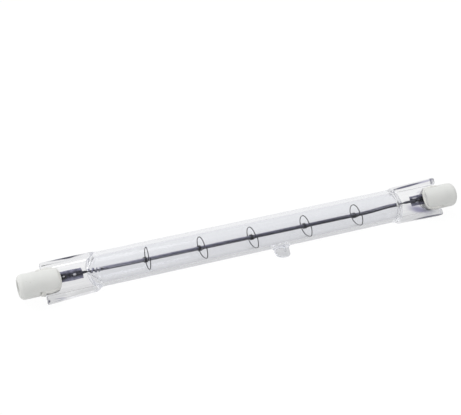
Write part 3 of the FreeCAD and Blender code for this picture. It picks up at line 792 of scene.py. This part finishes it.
coil_x = np.cumsum(tail_to_coil(TAIL_PITCH, COIL_PITCH)) / STEPS_PER_TURN
coil_x += COIL_START - np.interp(TAIL_TURNS_LEFT, winding, coil_x)
coil_radius = tail_to_coil(TAIL_OUTER - TAIL_WIRE / 2, COIL_OUTER - COIL_WIRE / 2)
coil_z = coil_radius * np.cos(2 * np.pi * winding) + tail_to_coil(LEAD_DROP, 0)
coil_path = sagged(joined(coil_x, coil_radius * np.sin(2 * np.pi * winding), coil_z), coil_x)

tungsten = Finish("tungsten_coil_wire", roughness=0.35, metallic=1.0)
stains = tungsten.noise(2500)
darker_coil_tone = tungsten.ramp(stains, [(0.3, (0.075, 0.075, 0.12)), (0.75, (0.24, 0.24, 0.33))])
lighter_coil_tone = tungsten.ramp(stains, [(0.3, (0.22, 0.22, 0.30)), (0.75, (0.44, 0.44, 0.57))])
# the coil's tone is darker to the right and lighter to the left
coil_tone = tungsten.mixed(tungsten.reach(ALONG, 20, -32), darker_coil_tone, lighter_coil_tone)
# painted shade: the coil's colour is darker on the stub's side of the axis
painted_stub_side_shade = tungsten.ramp(tungsten.reach(ACROSS, -0.65, 0.25),
                         [(0.25, (0.45, 0.45, 0.45)), (0.75, (1, 1, 1))])
tungsten.colour(tungsten.mixed(1.0, coil_tone, painted_stub_side_shade, "MULTIPLY"))
tungsten.rough(tungsten.noise(5000), 0.25, 0.5)
coil_skin = wire(coil_path, tail_to_coil(TAIL_WIRE, COIL_WIRE) / 2, WIRE_SIDES)
new_piece("filament_coil", [(*coil_skin, False)], tungsten.material, ["filament"])

# %% [markdown]
# ## The supports
#
# Five short pieces of thin wire keep the filament in the middle of the tube. Each is bent by
# hand or machine: a few tight turns that grip the coil, a short arm, and one open ring that is
# somewhat narrower than the bore. The rings lean by a few degrees, each by its own amount, and
# the left-hand one leans the other way. The path is the same in each: a helix, a growing
# radius, and a ring. So one function draws all five, each from a short row of measures.

# %% Filament supports
SUPPORT_WIRE, SUPPORT_SIDES = 0.235, 8
HUB_TURNS, HUB_PITCH, HUB_CLEARANCE = 2.6, 0.3, 0.01
ARM_TURNS, ARM_ANGLE = 0.16, 9.0
RING_RADIUS, RING_TURNS, RING_ADVANCE = 2.76, 0.95, 0.3
LEANING_SIDE = math.radians(-65.0)
HUB_STEPS_PER_TURN, ARM_STEPS, RING_STEPS = 24, 14, 72
# of each support: its place as a share of the way to the neck, how far its hub and its ring lie
# from there, the ring's lean in degrees, and the ring's place across the bore
SUPPORTS = [
    (-0.713, 0.35, 0.9, -4.0, 0.09),
    (-0.347, -0.1, 0.6, 6.5, -0.21),
    (0.010, -0.35, -0.1, 7.5, -0.42),
    (0.383, -0.5, -0.15, 7.5, -0.44),
    (0.735, -0.35, 0.25, 8.0, -0.42),
]

support_finish = Finish("support_wire_grey", roughness=0.38, metallic=1.0)
support_finish.colour(support_finish.ramp(
    support_finish.noise(1800), [(0.3, (0.008, 0.008, 0.016)), (0.8, (0.035, 0.035, 0.055))]))
support_finish.rough(support_finish.noise(4000), 0.28, 0.5)


def support_path(place, hub_shift, ring_shift, lean, ring_across):
    """Hub, arm and ring as one path in polar form: place along X, radius and turn from +Z to +Y.

    The hub goes down with the sagged coil. The ring keeps its own place and leans.
    """
    centre = place * NECK_START
    hub_end = centre + hub_shift + HUB_TURNS * HUB_PITCH / 2
    ring_start = centre + ring_shift - RING_ADVANCE / 2
    arm_start = ARM_ANGLE / 360 - ARM_TURNS
    hub = np.linspace(HUB_TURNS, 0, int(HUB_TURNS * HUB_STEPS_PER_TURN), endpoint=False)
    arm = np.linspace(0, 1, ARM_STEPS, endpoint=False)
    ring = np.linspace(0, 1, RING_STEPS)
    in_ring = np.concatenate([0 * hub, smooth(arm), 1 + 0 * ring])
    x = np.concatenate([hub_end - HUB_PITCH * hub, hub_end + (ring_start - hub_end) * arm,
                        ring_start + RING_ADVANCE * ring])
    turn = 2 * np.pi * (arm_start + np.concatenate([-hub, ARM_TURNS * arm,
                                                    ARM_TURNS + RING_TURNS * ring]))
    hub_radius = COIL_OUTER + SUPPORT_WIRE / 2 + HUB_CLEARANCE
    radius = hub_radius + (RING_RADIUS - hub_radius) * in_ring
    y, z = radius * np.sin(turn), radius * np.cos(turn)
    leaning = y * math.sin(LEANING_SIDE) + z * math.cos(LEANING_SIDE)
    x = x + math.tan(math.radians(lean)) * leaning * in_ring
    path = joined(x, y, z)
    share = in_ring[:, None]
    return sagged(path, centre + 0 * x) * (1 - share) + (path + [0, ring_across, 0]) * share


for number, support in enumerate(SUPPORTS, start=1):
    skin = wire(support_path(*support), SUPPORT_WIRE / 2, SUPPORT_SIDES)
    new_piece(f"support_{number}", [(*skin, False)], support_finish.material,
              [f"filament_support_{number}"])

# %% [markdown]
# ## Foils and leads
#
# Quartz hardly grows when it is hot, and metal does, so a plain wire would break the seal. A
# strip of molybdenum foil a few hundredths of a millimetre thick bends with the glass instead.
# A stiff wire is welded on each end of it. The foil is a grid whose section is a very flat
# ellipse, nearly as thin at its long edges as the real one, with a slight wave along it. At the
# welds the foils and the wires carry dark patches and painted highlights.

# %% Foils
FOIL_HALF_WIDTH, FOIL_HALF_THICKNESS = 1.32, 0.025
FOIL_LEVEL = -0.325
# terms of the foil's unevenness: of its width, of its ends and of its height
FOIL_WANDER, FOIL_BOW = [(0.02, 9, 0)], [(0.05, 0, 3)]
FOIL_WAVES = [(0.018, 5.1, 0.9), (0.009, 17, -2)]
FOIL_ENDING = 0.006  # share of the length in which the thickness grows
FOILS = {"left": (SEAL_END - 9.65, 5.5), "right": (SEAL_END - 7.8, 5.2)}  # start and length

foil_finish = Finish("molybdenum_foil_dark", roughness=0.4, metallic=1.0)
blotches = foil_finish.noise(900, stretch=(1, 0.6, 1))
dark_part = foil_finish.ramp(blotches, [(0.3, (0.008, 0.008, 0.016)), (0.7, (0.09, 0.09, 0.14))])
light_part = foil_finish.ramp(blotches, [(0.3, (0.16, 0.16, 0.24)), (0.7, (0.38, 0.38, 0.50))])
near_edge = foil_finish.reach(ACROSS, 0.45, 1.0, both_sides=True)
foil_tone = foil_finish.mixed(near_edge, dark_part, light_part)
DARK_WELD_PATCH = (0.006, 0.006, 0.012)
# at the welds, dark patches and painted highlights: side, place, half lengths, lean, strength and
# colour
WELD_DARKS_AND_PAINTED_HIGHLIGHTS = [
    ("left", (48.3, 0.1, 0), (1.4, 1.1, THROUGH), 0, 1.6, DARK_WELD_PATCH),
    ("left", (47.9, 0.05, 0), (0.35, 0.25, THROUGH), 0, 1.8, (0.6, 0.6, 0.65)),
    ("left", (45.25, 0.1, 0), (0.5, 0.3, THROUGH), 0, 2.2, (0.9, 0.9, 0.95)),
    ("right", (46.45, 0.7, 0), (0.9, 0.22, THROUGH), 0, 2.2, (0.8, 0.8, 0.85)),
    ("right", (46.9, -0.5, 0), (0.6, 0.2, THROUGH), 0, 1.8, (0.6, 0.6, 0.68)),
    ("right", (46.65, 0.0, 0), (0.5, 0.35, THROUGH), 0, 1.8, DARK_WELD_PATCH),
]
foil_finish.colour(foil_finish.marked(foil_tone, WELD_DARKS_AND_PAINTED_HIGHLIGHTS))
foil_finish.rough(foil_finish.noise(1500), 0.3, 0.6)
foil_finish.bump(foil_finish.noise(900, detail=4), 0.5, 0.00004)


def waves(terms, lengthwise, across):
    """A slow unevenness: the sum of height times sin(a lengthwise + b across) over its terms."""
    return sum(height * np.sin(a * lengthwise + b * across) for height, a, b in terms)


def foil(start, length):
    """A flat ellipse carried along X: y is its half width times the cosine of the way round.

    Its height is the foil's level plus two slow waves, plus the half thickness times the sine.
    """
    share = np.linspace(0, 1, 60)[:, None]
    turn = np.linspace(0, 2 * np.pi, 49)
    y = FOIL_HALF_WIDTH * np.cos(turn) * (1 - waves(FOIL_WANDER, share, 0))
    end = np.clip(np.minimum(share, 1 - share) / FOIL_ENDING, 0, 1)
    z = FOIL_LEVEL + waves(FOIL_WAVES, share, y) + FOIL_HALF_THICKNESS * np.sin(turn) * end
    x = start + length * share + waves(FOIL_BOW, share, y)
    return sheets(joined(x, y * end ** 0.2, z))


def end_piece(kind, side, skin, finish, node, place=at_end):
    """A piece of one end of the bulb, from a skin that is drawn flat at the right-hand end."""
    points, faces = skin
    return new_piece(f"{kind}_{side}", [(place(points, side), faces, False)], finish.material,
                     [f"{node}_{side}"])


SIDES = ("left", "right")
for side in SIDES:
    end_piece("foil", side, foil(*FOILS[side]), foil_finish, "sealing_foil")

# %% [markdown]
# The wires are drawn rod, so each is a profile turned on a lathe. The outer one is a plain rod
# with rounded edges, from the foil into the contact. The inner one runs from the foil into the
# filament and tapers to a thin tip on the way. A low specular tint keeps their edges dark.

# %% Leads
LEAD_RADIUS, TIP_RADIUS, OUTER_LEAD_RADIUS = 0.33, 0.13, 0.3
LEAD_TAPERS = {"left": (41.9, 42.7), "right": (42.5, 43.7)}
LEAD_ROUND = 0.12
TIP_BEVEL_LENGTH, TIP_BEVEL_DEPTH = 0.05, 0.04
LEAD_COLUMNS = 24

lead_finish = Finish("molybdenum_wire_grey", roughness=0.4, metallic=1.0)
lead_tone = lead_finish.ramp(lead_finish.noise(1200, stretch=(0.2, 1, 1)),
                             [(0.3, (0.03, 0.03, 0.045)), (0.8, (0.12, 0.12, 0.16))])
# the wires get the same dark patches and painted highlights at the welds
lead_finish.colour(lead_finish.marked(lead_tone, WELD_DARKS_AND_PAINTED_HIGHLIGHTS))
lead_finish.rough(lead_finish.noise(3000), 0.3, 0.55)
lead_finish.surface({"Specular Tint": (0.12, 0.12, 0.15, 1)})


def inner_lead(tip, root, taper_start, taper_end):
    """A thin tip with a small bevel, a cone, and a thicker rod with a bevelled end."""
    return lathe([(tip, 0), (tip, TIP_RADIUS - TIP_BEVEL_DEPTH),
                  (tip + TIP_BEVEL_LENGTH, TIP_RADIUS), (taper_start, TIP_RADIUS),
                  (taper_end, LEAD_RADIUS), (root - LEAD_ROUND, LEAD_RADIUS),
                  (root, LEAD_RADIUS - LEAD_ROUND), (root, 0)], LEAD_COLUMNS, up=LEAD_DROP)


def outer_lead(start, end):
    """A round bar along X whose two edges are rounded."""
    last = rounded(end, OUTER_LEAD_RADIUS, LEAD_ROUND)
    first = [(start + end - x, radius) for x, radius in last[::-1]]
    return lathe([(start, 0), *first, *last, (end, 0)], LEAD_COLUMNS)


def packed_ends(node):
    """Where a packed lead starts and ends, as distances from the middle of the glass."""
    return sorted(abs(corner[0] - GLASS_SHIFT) for corner in packed_box(node))


for side in SIDES:
    skin = inner_lead(*packed_ends(f"inner_lead_{side}"), *LEAD_TAPERS[side])
    end_piece("lead_in", side, skin, lead_finish, "inner_lead")
    skin = outer_lead(*packed_ends(f"outer_lead_{side}"))
    end_piece("lead_out", side, skin, lead_finish, "outer_lead")

# %% [markdown]
# ## Ceramic caps
#
# The caps are pressed and fired steatite, a matt off-white ceramic with a slightly green cast
# and a fine grain. A cap is a turned body with a slot across its inner end, which straddles the
# seal. The slot leaves two jaws, a little shorter and rounder on the right-hand cap. It could be
# cut with a boolean, but the uneven faces along such a cut spoil a bevel. Here the skin is
# grids that share their edge points: the turned body, and for each jaw its round back, its flat
# and its end. One more grid is the slot's bottom. A fine bevel then softens every edge, as
# firing does.

# %% Ceramic
ceramic = Finish("fired_steatite", roughness=0.7)
mottle = ceramic.noise(320, detail=4)
base = ceramic.ramp(mottle, [(0.3, (0.80, 0.81, 0.79)), (0.7, (0.85, 0.855, 0.835))])
specks = ceramic.ramp(ceramic.noise(1500, detail=1), [(0.73, (0, 0, 0)), (0.80, (1, 1, 1))])
ceramic.colour(ceramic.mixed(specks, base, (0.72, 0.72, 0.69)))
ceramic.rough(mottle, 0.6, 0.8)
ceramic.bump(ceramic.noise(5200, detail=2), 0.35, 0.00003)
ceramic.bump(mottle, 0.2, 0.00012)
SLOT_HALF_WIDTH = 1.7
SLOT_END = CAP_INNER_END + 4.75
EDGE_ROUND = 1.15
RECESS_RADIUS, RECESS_DEPTH = 1.8, 1.2
POCKET_RADIUS, POCKET_DEPTH = 1.48, 0.6
# where each cap's jaws end, and how round their corners are
JAWS = {"left": (CAP_INNER_END, 0.9), "right": (CAP_INNER_END + 0.35, 1.5)}
JAW_STEPS, OPEN_STEPS, EDGE_STEPS = 30, 16, 9
EDGE_SOFTNESS = 0.1


def cap_skin(inner_end, jaw_corner):
    """The turned body of a cap with its two jaws, as grids that meet point on point."""
    slot_turn = math.asin(SLOT_HALF_WIDTH / CAP_RADIUS)
    jaw = np.linspace(slot_turn, np.pi - slot_turn, JAW_STEPS + 1)
    gap = np.linspace(-slot_turn, slot_turn, OPEN_STEPS + 1)
    ring = np.concatenate([gap[:-1], jaw[:-1], gap[:-1] + np.pi, jaw + np.pi])
    floor = OUTER_END - RECESS_DEPTH
    profile = [(x, CAP_RADIUS) for x in np.linspace(SLOT_END, OUTER_END - EDGE_ROUND, 8)[:-1]]
    profile += rounded(OUTER_END, CAP_RADIUS, EDGE_ROUND, EDGE_STEPS)
    profile += [(OUTER_END, RECESS_RADIUS), (floor, RECESS_RADIUS), (floor, POCKET_RADIUS),
                (floor - POCKET_DEPTH, POCKET_RADIUS), (floor - POCKET_DEPTH, 0)]
    x, radius = np.array(profile).T[:, :, None]
    grids = [joined(x, radius * np.cos(ring), radius * np.sin(ring))]

    y, back = CAP_RADIUS * np.cos(jaw), CAP_RADIUS * np.sin(jaw)
    corner = np.clip(np.abs(y) - (CAP_RADIUS * math.cos(slot_turn) - jaw_corner), 0, jaw_corner)
    end = inner_end + jaw_corner - np.sqrt(jaw_corner ** 2 - corner ** 2)
    share = np.linspace(0, 1, 9)[:, None]
    lengthwise = SLOT_END + (end - SLOT_END) * share
    end_height = back + (SLOT_HALF_WIDTH - back) * share
    for sign in (1, -1):
        for x, z in ((lengthwise, back), (lengthwise, SLOT_HALF_WIDTH), (end, end_height)):
            grids.append(joined(x, y, sign * z))
    gap = gap[:, None]
    grids.append(joined(SLOT_END, np.cos(gap) / math.cos(slot_turn) * y, CAP_RADIUS * np.sin(gap)))
    return sheets(*grids)


for side in SIDES:
    skin = cap_skin(*JAWS[side])
    cap = end_piece("cap", side, skin, ceramic, "ceramic_cap", at_cap)
    softened = cap.modifiers.new("fired_edges", "BEVEL")
    softened.width = EDGE_SOFTNESS * MM
    softened.segments = 2
    softened.limit_method = "ANGLE"
    softened.angle_limit = math.radians(50)
    softened.harden_normals = False

# %% [markdown]
# ## Contacts
#
# At the bottom of each recess sits a nickel-plated button, on which the lampholder presses.
# It is turned: a slightly domed face, a rounded edge and a shank that takes the wire. So one
# profile on the lathe is enough. Fine noise in roughness and relief gives the satin look.

# %% Contacts
nickel = Finish("satin_nickel", roughness=0.3, metallic=1.0)
satin = nickel.noise(2600, detail=1, stretch=(0.05, 1, 1))
nickel.colour(nickel.ramp(satin, [(0.2, (0.50, 0.48, 0.44)), (0.8, (0.66, 0.64, 0.60))]))
nickel.rough(satin, 0.22, 0.45)
nickel.bump(satin, 0.3, 0.00002)
HEAD_RADIUS, HEAD_DOME, HEAD_EDGE = 1.45, 0.05, 0.12
SHANK_RADIUS = 0.8


def contact_skin():
    """A turned button: shank, flange and a face whose height falls off with the radius squared."""
    face = OUTER_END - RECESS_DEPTH
    under = face - POCKET_DEPTH
    dome = [(face - HEAD_DOME * (radius / HEAD_RADIUS) ** 2, radius)
            for radius in np.linspace(HEAD_RADIUS - HEAD_EDGE, 0, 8)[1:]]
    return lathe([(SLOT_END, 0), (SLOT_END, SHANK_RADIUS), (under, SHANK_RADIUS),
                  (under, HEAD_RADIUS), *rounded(face - HEAD_DOME, HEAD_RADIUS, HEAD_EDGE),
                  *dome], 64)


for side in SIDES:
    end_piece("contact_button", side, contact_skin(), nickel, "contact", at_cap)

# %% [markdown]
# ## Cement
#
# A creamy cement fills the slot and holds the cap on the glass. It goes in as a paste, so it
# ends in soft, uneven swellings at the slot's open sides and round the web, and at the left end
# some of it is smeared out beyond the jaws. It could be sculpted, but a formula keeps it
# between the slot's walls. The piece is a bar bent into a U round the end of the seal: its
# section is a rounded rectangle, as wide as the slot is long across and wider towards the
# glass, carried along the U, with a slow unevenness on its surface.

# %% Cement
cement = Finish("dried_cement", roughness=0.85)
clots = cement.noise(700, detail=4)
cement.colour(cement.ramp(clots, [(0.25, (0.84, 0.84, 0.81)), (0.75, (0.90, 0.90, 0.87))]))
cement.bump(clots, 0.4, 0.0001)
cement.bump(cement.noise(3600, detail=2), 0.4, 0.00005)
CEMENT_RADIUS = 3.1
CEMENT_STARTS = {"left": CAP_INNER_END - 0.9, "right": CAP_INNER_END}
SECTION_POWER = 0.25
THIN_END, ROUND_END = 1.2, 2.6  # how far the bar grows in thickness and in width
NARROWEST = 0.3
BULGE, WALL_SLOPE = 0.15, 0.14
CEMENT_WAVES = [(0.07, 2.3, 0), (0.05, 5.7, 3)]


def cement_skin(seal_end, start):
    """A rounded bar carried along a U: out above the web, round its end and back below it.

    The section is a superellipse. Its half width follows the cap's round and grows towards the
    glass, its half height is half the gap between web and jaw, and both shrink over the first
    and last bit. Beyond the seal's end the bar is as thick as the room that is left in the slot.
    """
    level = (SLOT_HALF_WIDTH + WEB_HALF_THICKNESS) / 2
    half_gap = (SLOT_HALF_WIDTH - WEB_HALF_THICKNESS) / 2
    half_room = (SLOT_END - seal_end) / 2
    straight = seal_end - start
    bend = level * np.pi
    length = 2 * straight + bend
    ending = np.linspace(0, THIN_END, 10)
    middle = np.linspace(THIN_END + 0.15, length - THIN_END - 0.15, 40)
    walk = np.concatenate([ending, middle, length - ending[::-1]])[:, None]
    turn = np.linspace(0, 2 * np.pi, 49)
    wide, thick = (np.sign(part) * np.abs(part) ** SECTION_POWER
                   for part in (np.cos(turn), np.sin(turn)))

    def grown(distance):
        """A quarter of a circle from 0 at the bar's ends to 1 at a distance from them."""
        share = np.clip(np.minimum(walk, length - walk) / distance, 0, 1)
        return np.sqrt(1 - (1 - share) ** 2)

    heading = np.clip((walk - straight) / level, 0, np.pi)
    x = start + np.minimum(walk, straight) - np.clip(walk - straight - bend, 0, None)
    x = x + half_room * np.sin(heading)
    z = level * np.cos(heading)
    taper = grown(THIN_END)
    reach = np.sqrt(CEMENT_RADIUS ** 2 - np.clip(np.abs(z), 0, SLOT_HALF_WIDTH) ** 2)
    reach = reach + BULGE * smooth(seal_end - x) + WALL_SLOPE * (1 - thick)
    reach = reach + waves(CEMENT_WAVES, walk, wide)
    y = reach * wide * (NARROWEST + (1 - NARROWEST) * grown(ROUND_END)) * taper ** 0.3
    x = x + np.sin(heading) * thick * taper * half_room
    z = z + np.cos(heading) * thick * taper * half_gap
    return sheets(joined(x, y, z))


for side in SIDES:
    seal_end = SEAL_END + (-GLASS_SHIFT if side == "left" else GLASS_SHIFT)
    skin = cement_skin(seal_end, CEMENT_STARTS[side])
    end_piece("cement", side, skin, cement, "cap_cement", at_cap)

# %% [markdown]
# ## The camera
#
# The photograph was taken from above and in front, with the tube turned a little away from the
# camera and the picture tilted. The camera's three directions follow from three angles, and its
# place from a distance and two small shifts of the bulb in the picture. That is easier to
# adjust than a free place and rotation, because each number changes one thing in the picture.

# %% Camera
IMAGE_WIDTH = 461
FOCAL_PIXELS = 1150.0
SENSOR_WIDTH = 36.0
PICTURE_TILT = math.radians(11.71)
TURN_AWAY = math.radians(17.6)
TIP_LEAN = math.radians(11.0)
DISTANCE, SHIFT_DOWN, SHIFT_ALONG = 286.6, 8.08, 3.61


def stand(thing, axes, place):
    """Puts a camera or lamp in the scene, by its right, up and backward directions."""
    pose = np.eye(4)
    pose[:3, :3] = np.stack(axes, axis=1)
    pose[:3, 3] = place
    thing.matrix_world = Matrix(pose.tolist())
    bpy.context.scene.collection.objects.link(thing)


right, down, forward = np.eye(3)
tilted_right, tilted_down = rotated(right, down, PICTURE_TILT)
seen_tube, seen_depth = rotated(tilted_right, forward, -TURN_AWAY)
seen_stub, seen_back = rotated(tilted_down, seen_depth, TIP_LEAN)
own = turned(np.diag([1.0, -1.0, 1.0]), ROLL)
to_world = own.T @ np.stack([seen_tube, seen_stub, -seen_back])
offset = DISTANCE * forward + SHIFT_DOWN * tilted_down + SHIFT_ALONG * seen_tube
position = (CENTRE - to_world @ offset) * MM

camera = bpy.data.objects.new("camera", bpy.data.cameras.new("camera"))
camera.data.sensor_width = SENSOR_WIDTH
camera.data.lens = FOCAL_PIXELS / IMAGE_WIDTH * SENSOR_WIDTH
camera.data.clip_start = 0.01
stand(camera, (to_world @ right, -(to_world @ down), -(to_world @ forward)), position)
bpy.context.scene.camera = camera
print("camera at", position.round(4), "m, lens", round(camera.data.lens, 1), "mm")

# %% [markdown]
# ## Table, world and lamps
#
# The bulb lies on a plain white table in soft light. Behind glass the background matters as
# much as the lamps, because the glass shows it bent and mirrored. The camera sees an even
# white. What the glass and metal see gets a little darker towards the front, as it does in a
# room with its window behind, and that draws their dark lines. Close under the bulb that
# darkening is steeper: a painted shadow that only the glass and metal see. The table keeps a
# soft shadow.

# %% Table and world
TABLE_HALF = 3.0
TABLE_GLOW, GLOW_SHARE = 1.05, 0.9
FRONT = (-0.466, -0.885, 0.0)
# brightness by distance: metres of the table towards its front, then shares of a direction for
# the room as the glass sees it and for its light on surfaces
# the steep fall close under the bulb is a painted shadow on the table's glow
TABLE_FALL_AND_PAINTED_SHADOW = [(-0.010, 1.0), (-0.0065, 1.0), (-0.0048, 0.93), (-0.0040, 0.89), (-0.0010, 0.86),
              (0.0010, 0.74), (0.060, 0.5)]
ROOM_FALL = [(-0.2, 1.0), (0.7, 0.42)]
LIGHT_FALL = [(-0.8, 0.62), (0.8, 0.53)]


def seen_directly(network):
    """1 for rays from the camera, from a mirror or through glass, and 0 for light on surfaces."""
    path = network.add("LightPath").outputs
    mirrored_too = network.worked("MAXIMUM", path["Is Camera Ray"], path["Is Glossy Ray"])
    return network.worked("MAXIMUM", mirrored_too, path["Is Transmission Ray"])


def towards_front(network, place, front, fall):
    """A brightness by the distance along a direction, given as pairs of (distance, grey).

    The camera's own rays keep 1, so that the background stays plain white.
    """
    near, far = fall[0][0], fall[-1][0]
    share = network.spanned(network.dot(place, front), near, far)
    stops = [((distance - near) / (far - near), (grey,) * 3) for distance, grey in fall]
    camera_ray = network.add("LightPath").outputs["Is Camera Ray"]
    return network.worked("MAXIMUM", network.ramp(share, stops), camera_ray)


white = Finish("plain_white_table", roughness=0.9)
white.surface({"Base Color": (0.86, 0.86, 0.86, 1), "Specular IOR Level": 0.1})
brightness = towards_front(white, white.place, (0, -1, 0), TABLE_FALL_AND_PAINTED_SHADOW)
glow = white.add("Emission", {"Color": (1, 1, 1, 1),
                              "Strength": white.worked("MULTIPLY", brightness, TABLE_GLOW)})
blend = white.add("MixShader", {"Fac": white.worked("MULTIPLY", seen_directly(white), GLOW_SHARE),
                                1: white.shader.outputs["BSDF"], 2: glow.outputs["Emission"]})
white.put(white.nodes["Material Output"], {"Surface": blend.outputs["Shader"]})

table_mesh = bpy.data.meshes.new("table")
corners = TABLE_HALF * np.array([(-1, -1, 0), (1, -1, 0), (1, 1, 0), (-1, 1, 0)])
table_mesh.from_pydata(corners.tolist(), [], [(0, 1, 2, 3)])
table_mesh.materials.append(white.material)
table = bpy.data.objects.new("table", table_mesh)
bpy.context.scene.collection.objects.link(table)

bpy.context.scene.world = bpy.data.worlds.new("soft_room")
room = Network(bpy.context.scene.world)
around = room.add("TexCoord").outputs["Generated"]
strength = room.spanned(seen_directly(room),
                        to_low=towards_front(room, around, FRONT, LIGHT_FALL),
                        to_high=towards_front(room, around, FRONT, ROOM_FALL))
room.put(room.nodes["Background"], {"Color": (1, 1, 1, 1), "Strength": strength})
print("table", 2 * TABLE_HALF, "m wide, room from", ROOM_FALL[0][1], "to", ROOM_FALL[-1][1])

# %% [markdown]
# The room's light is even. Two area lamps give it a direction: a large soft box behind and
# above the bulb, which draws the soft shadow, and a weaker one at the left in front. They
# are kept out of mirror images, so that the glass and the metal show only the even room.

# %% Lamps
# place, width and power
LAMPS = {
    "large_soft_box": ((-0.12, 0.33, 0.48), 0.5, 1.6),
    "side_fill": ((-0.5, -0.3, 0.3), 0.4, 0.5),
}
for name, (place, width, power) in LAMPS.items():
    lamp = bpy.data.objects.new(name, bpy.data.lights.new(name, "AREA"))
    lamp.data.size = width
    lamp.data.energy = power
    lamp.visible_glossy = False
    backward = np.array(place) / np.linalg.norm(place)
    sideways = np.cross([0, 0, 1], backward)
    sideways /= np.linalg.norm(sideways)
    stand(lamp, (sideways, np.cross(backward, sideways), backward), place)
print("lamps:", ", ".join(LAMPS))

# %% [markdown]
# ## Colour
#
# The Standard view shows the colours as they were chosen, with no film look laid over them.

# %% Colour
bpy.context.scene.view_settings.view_transform = "Standard"
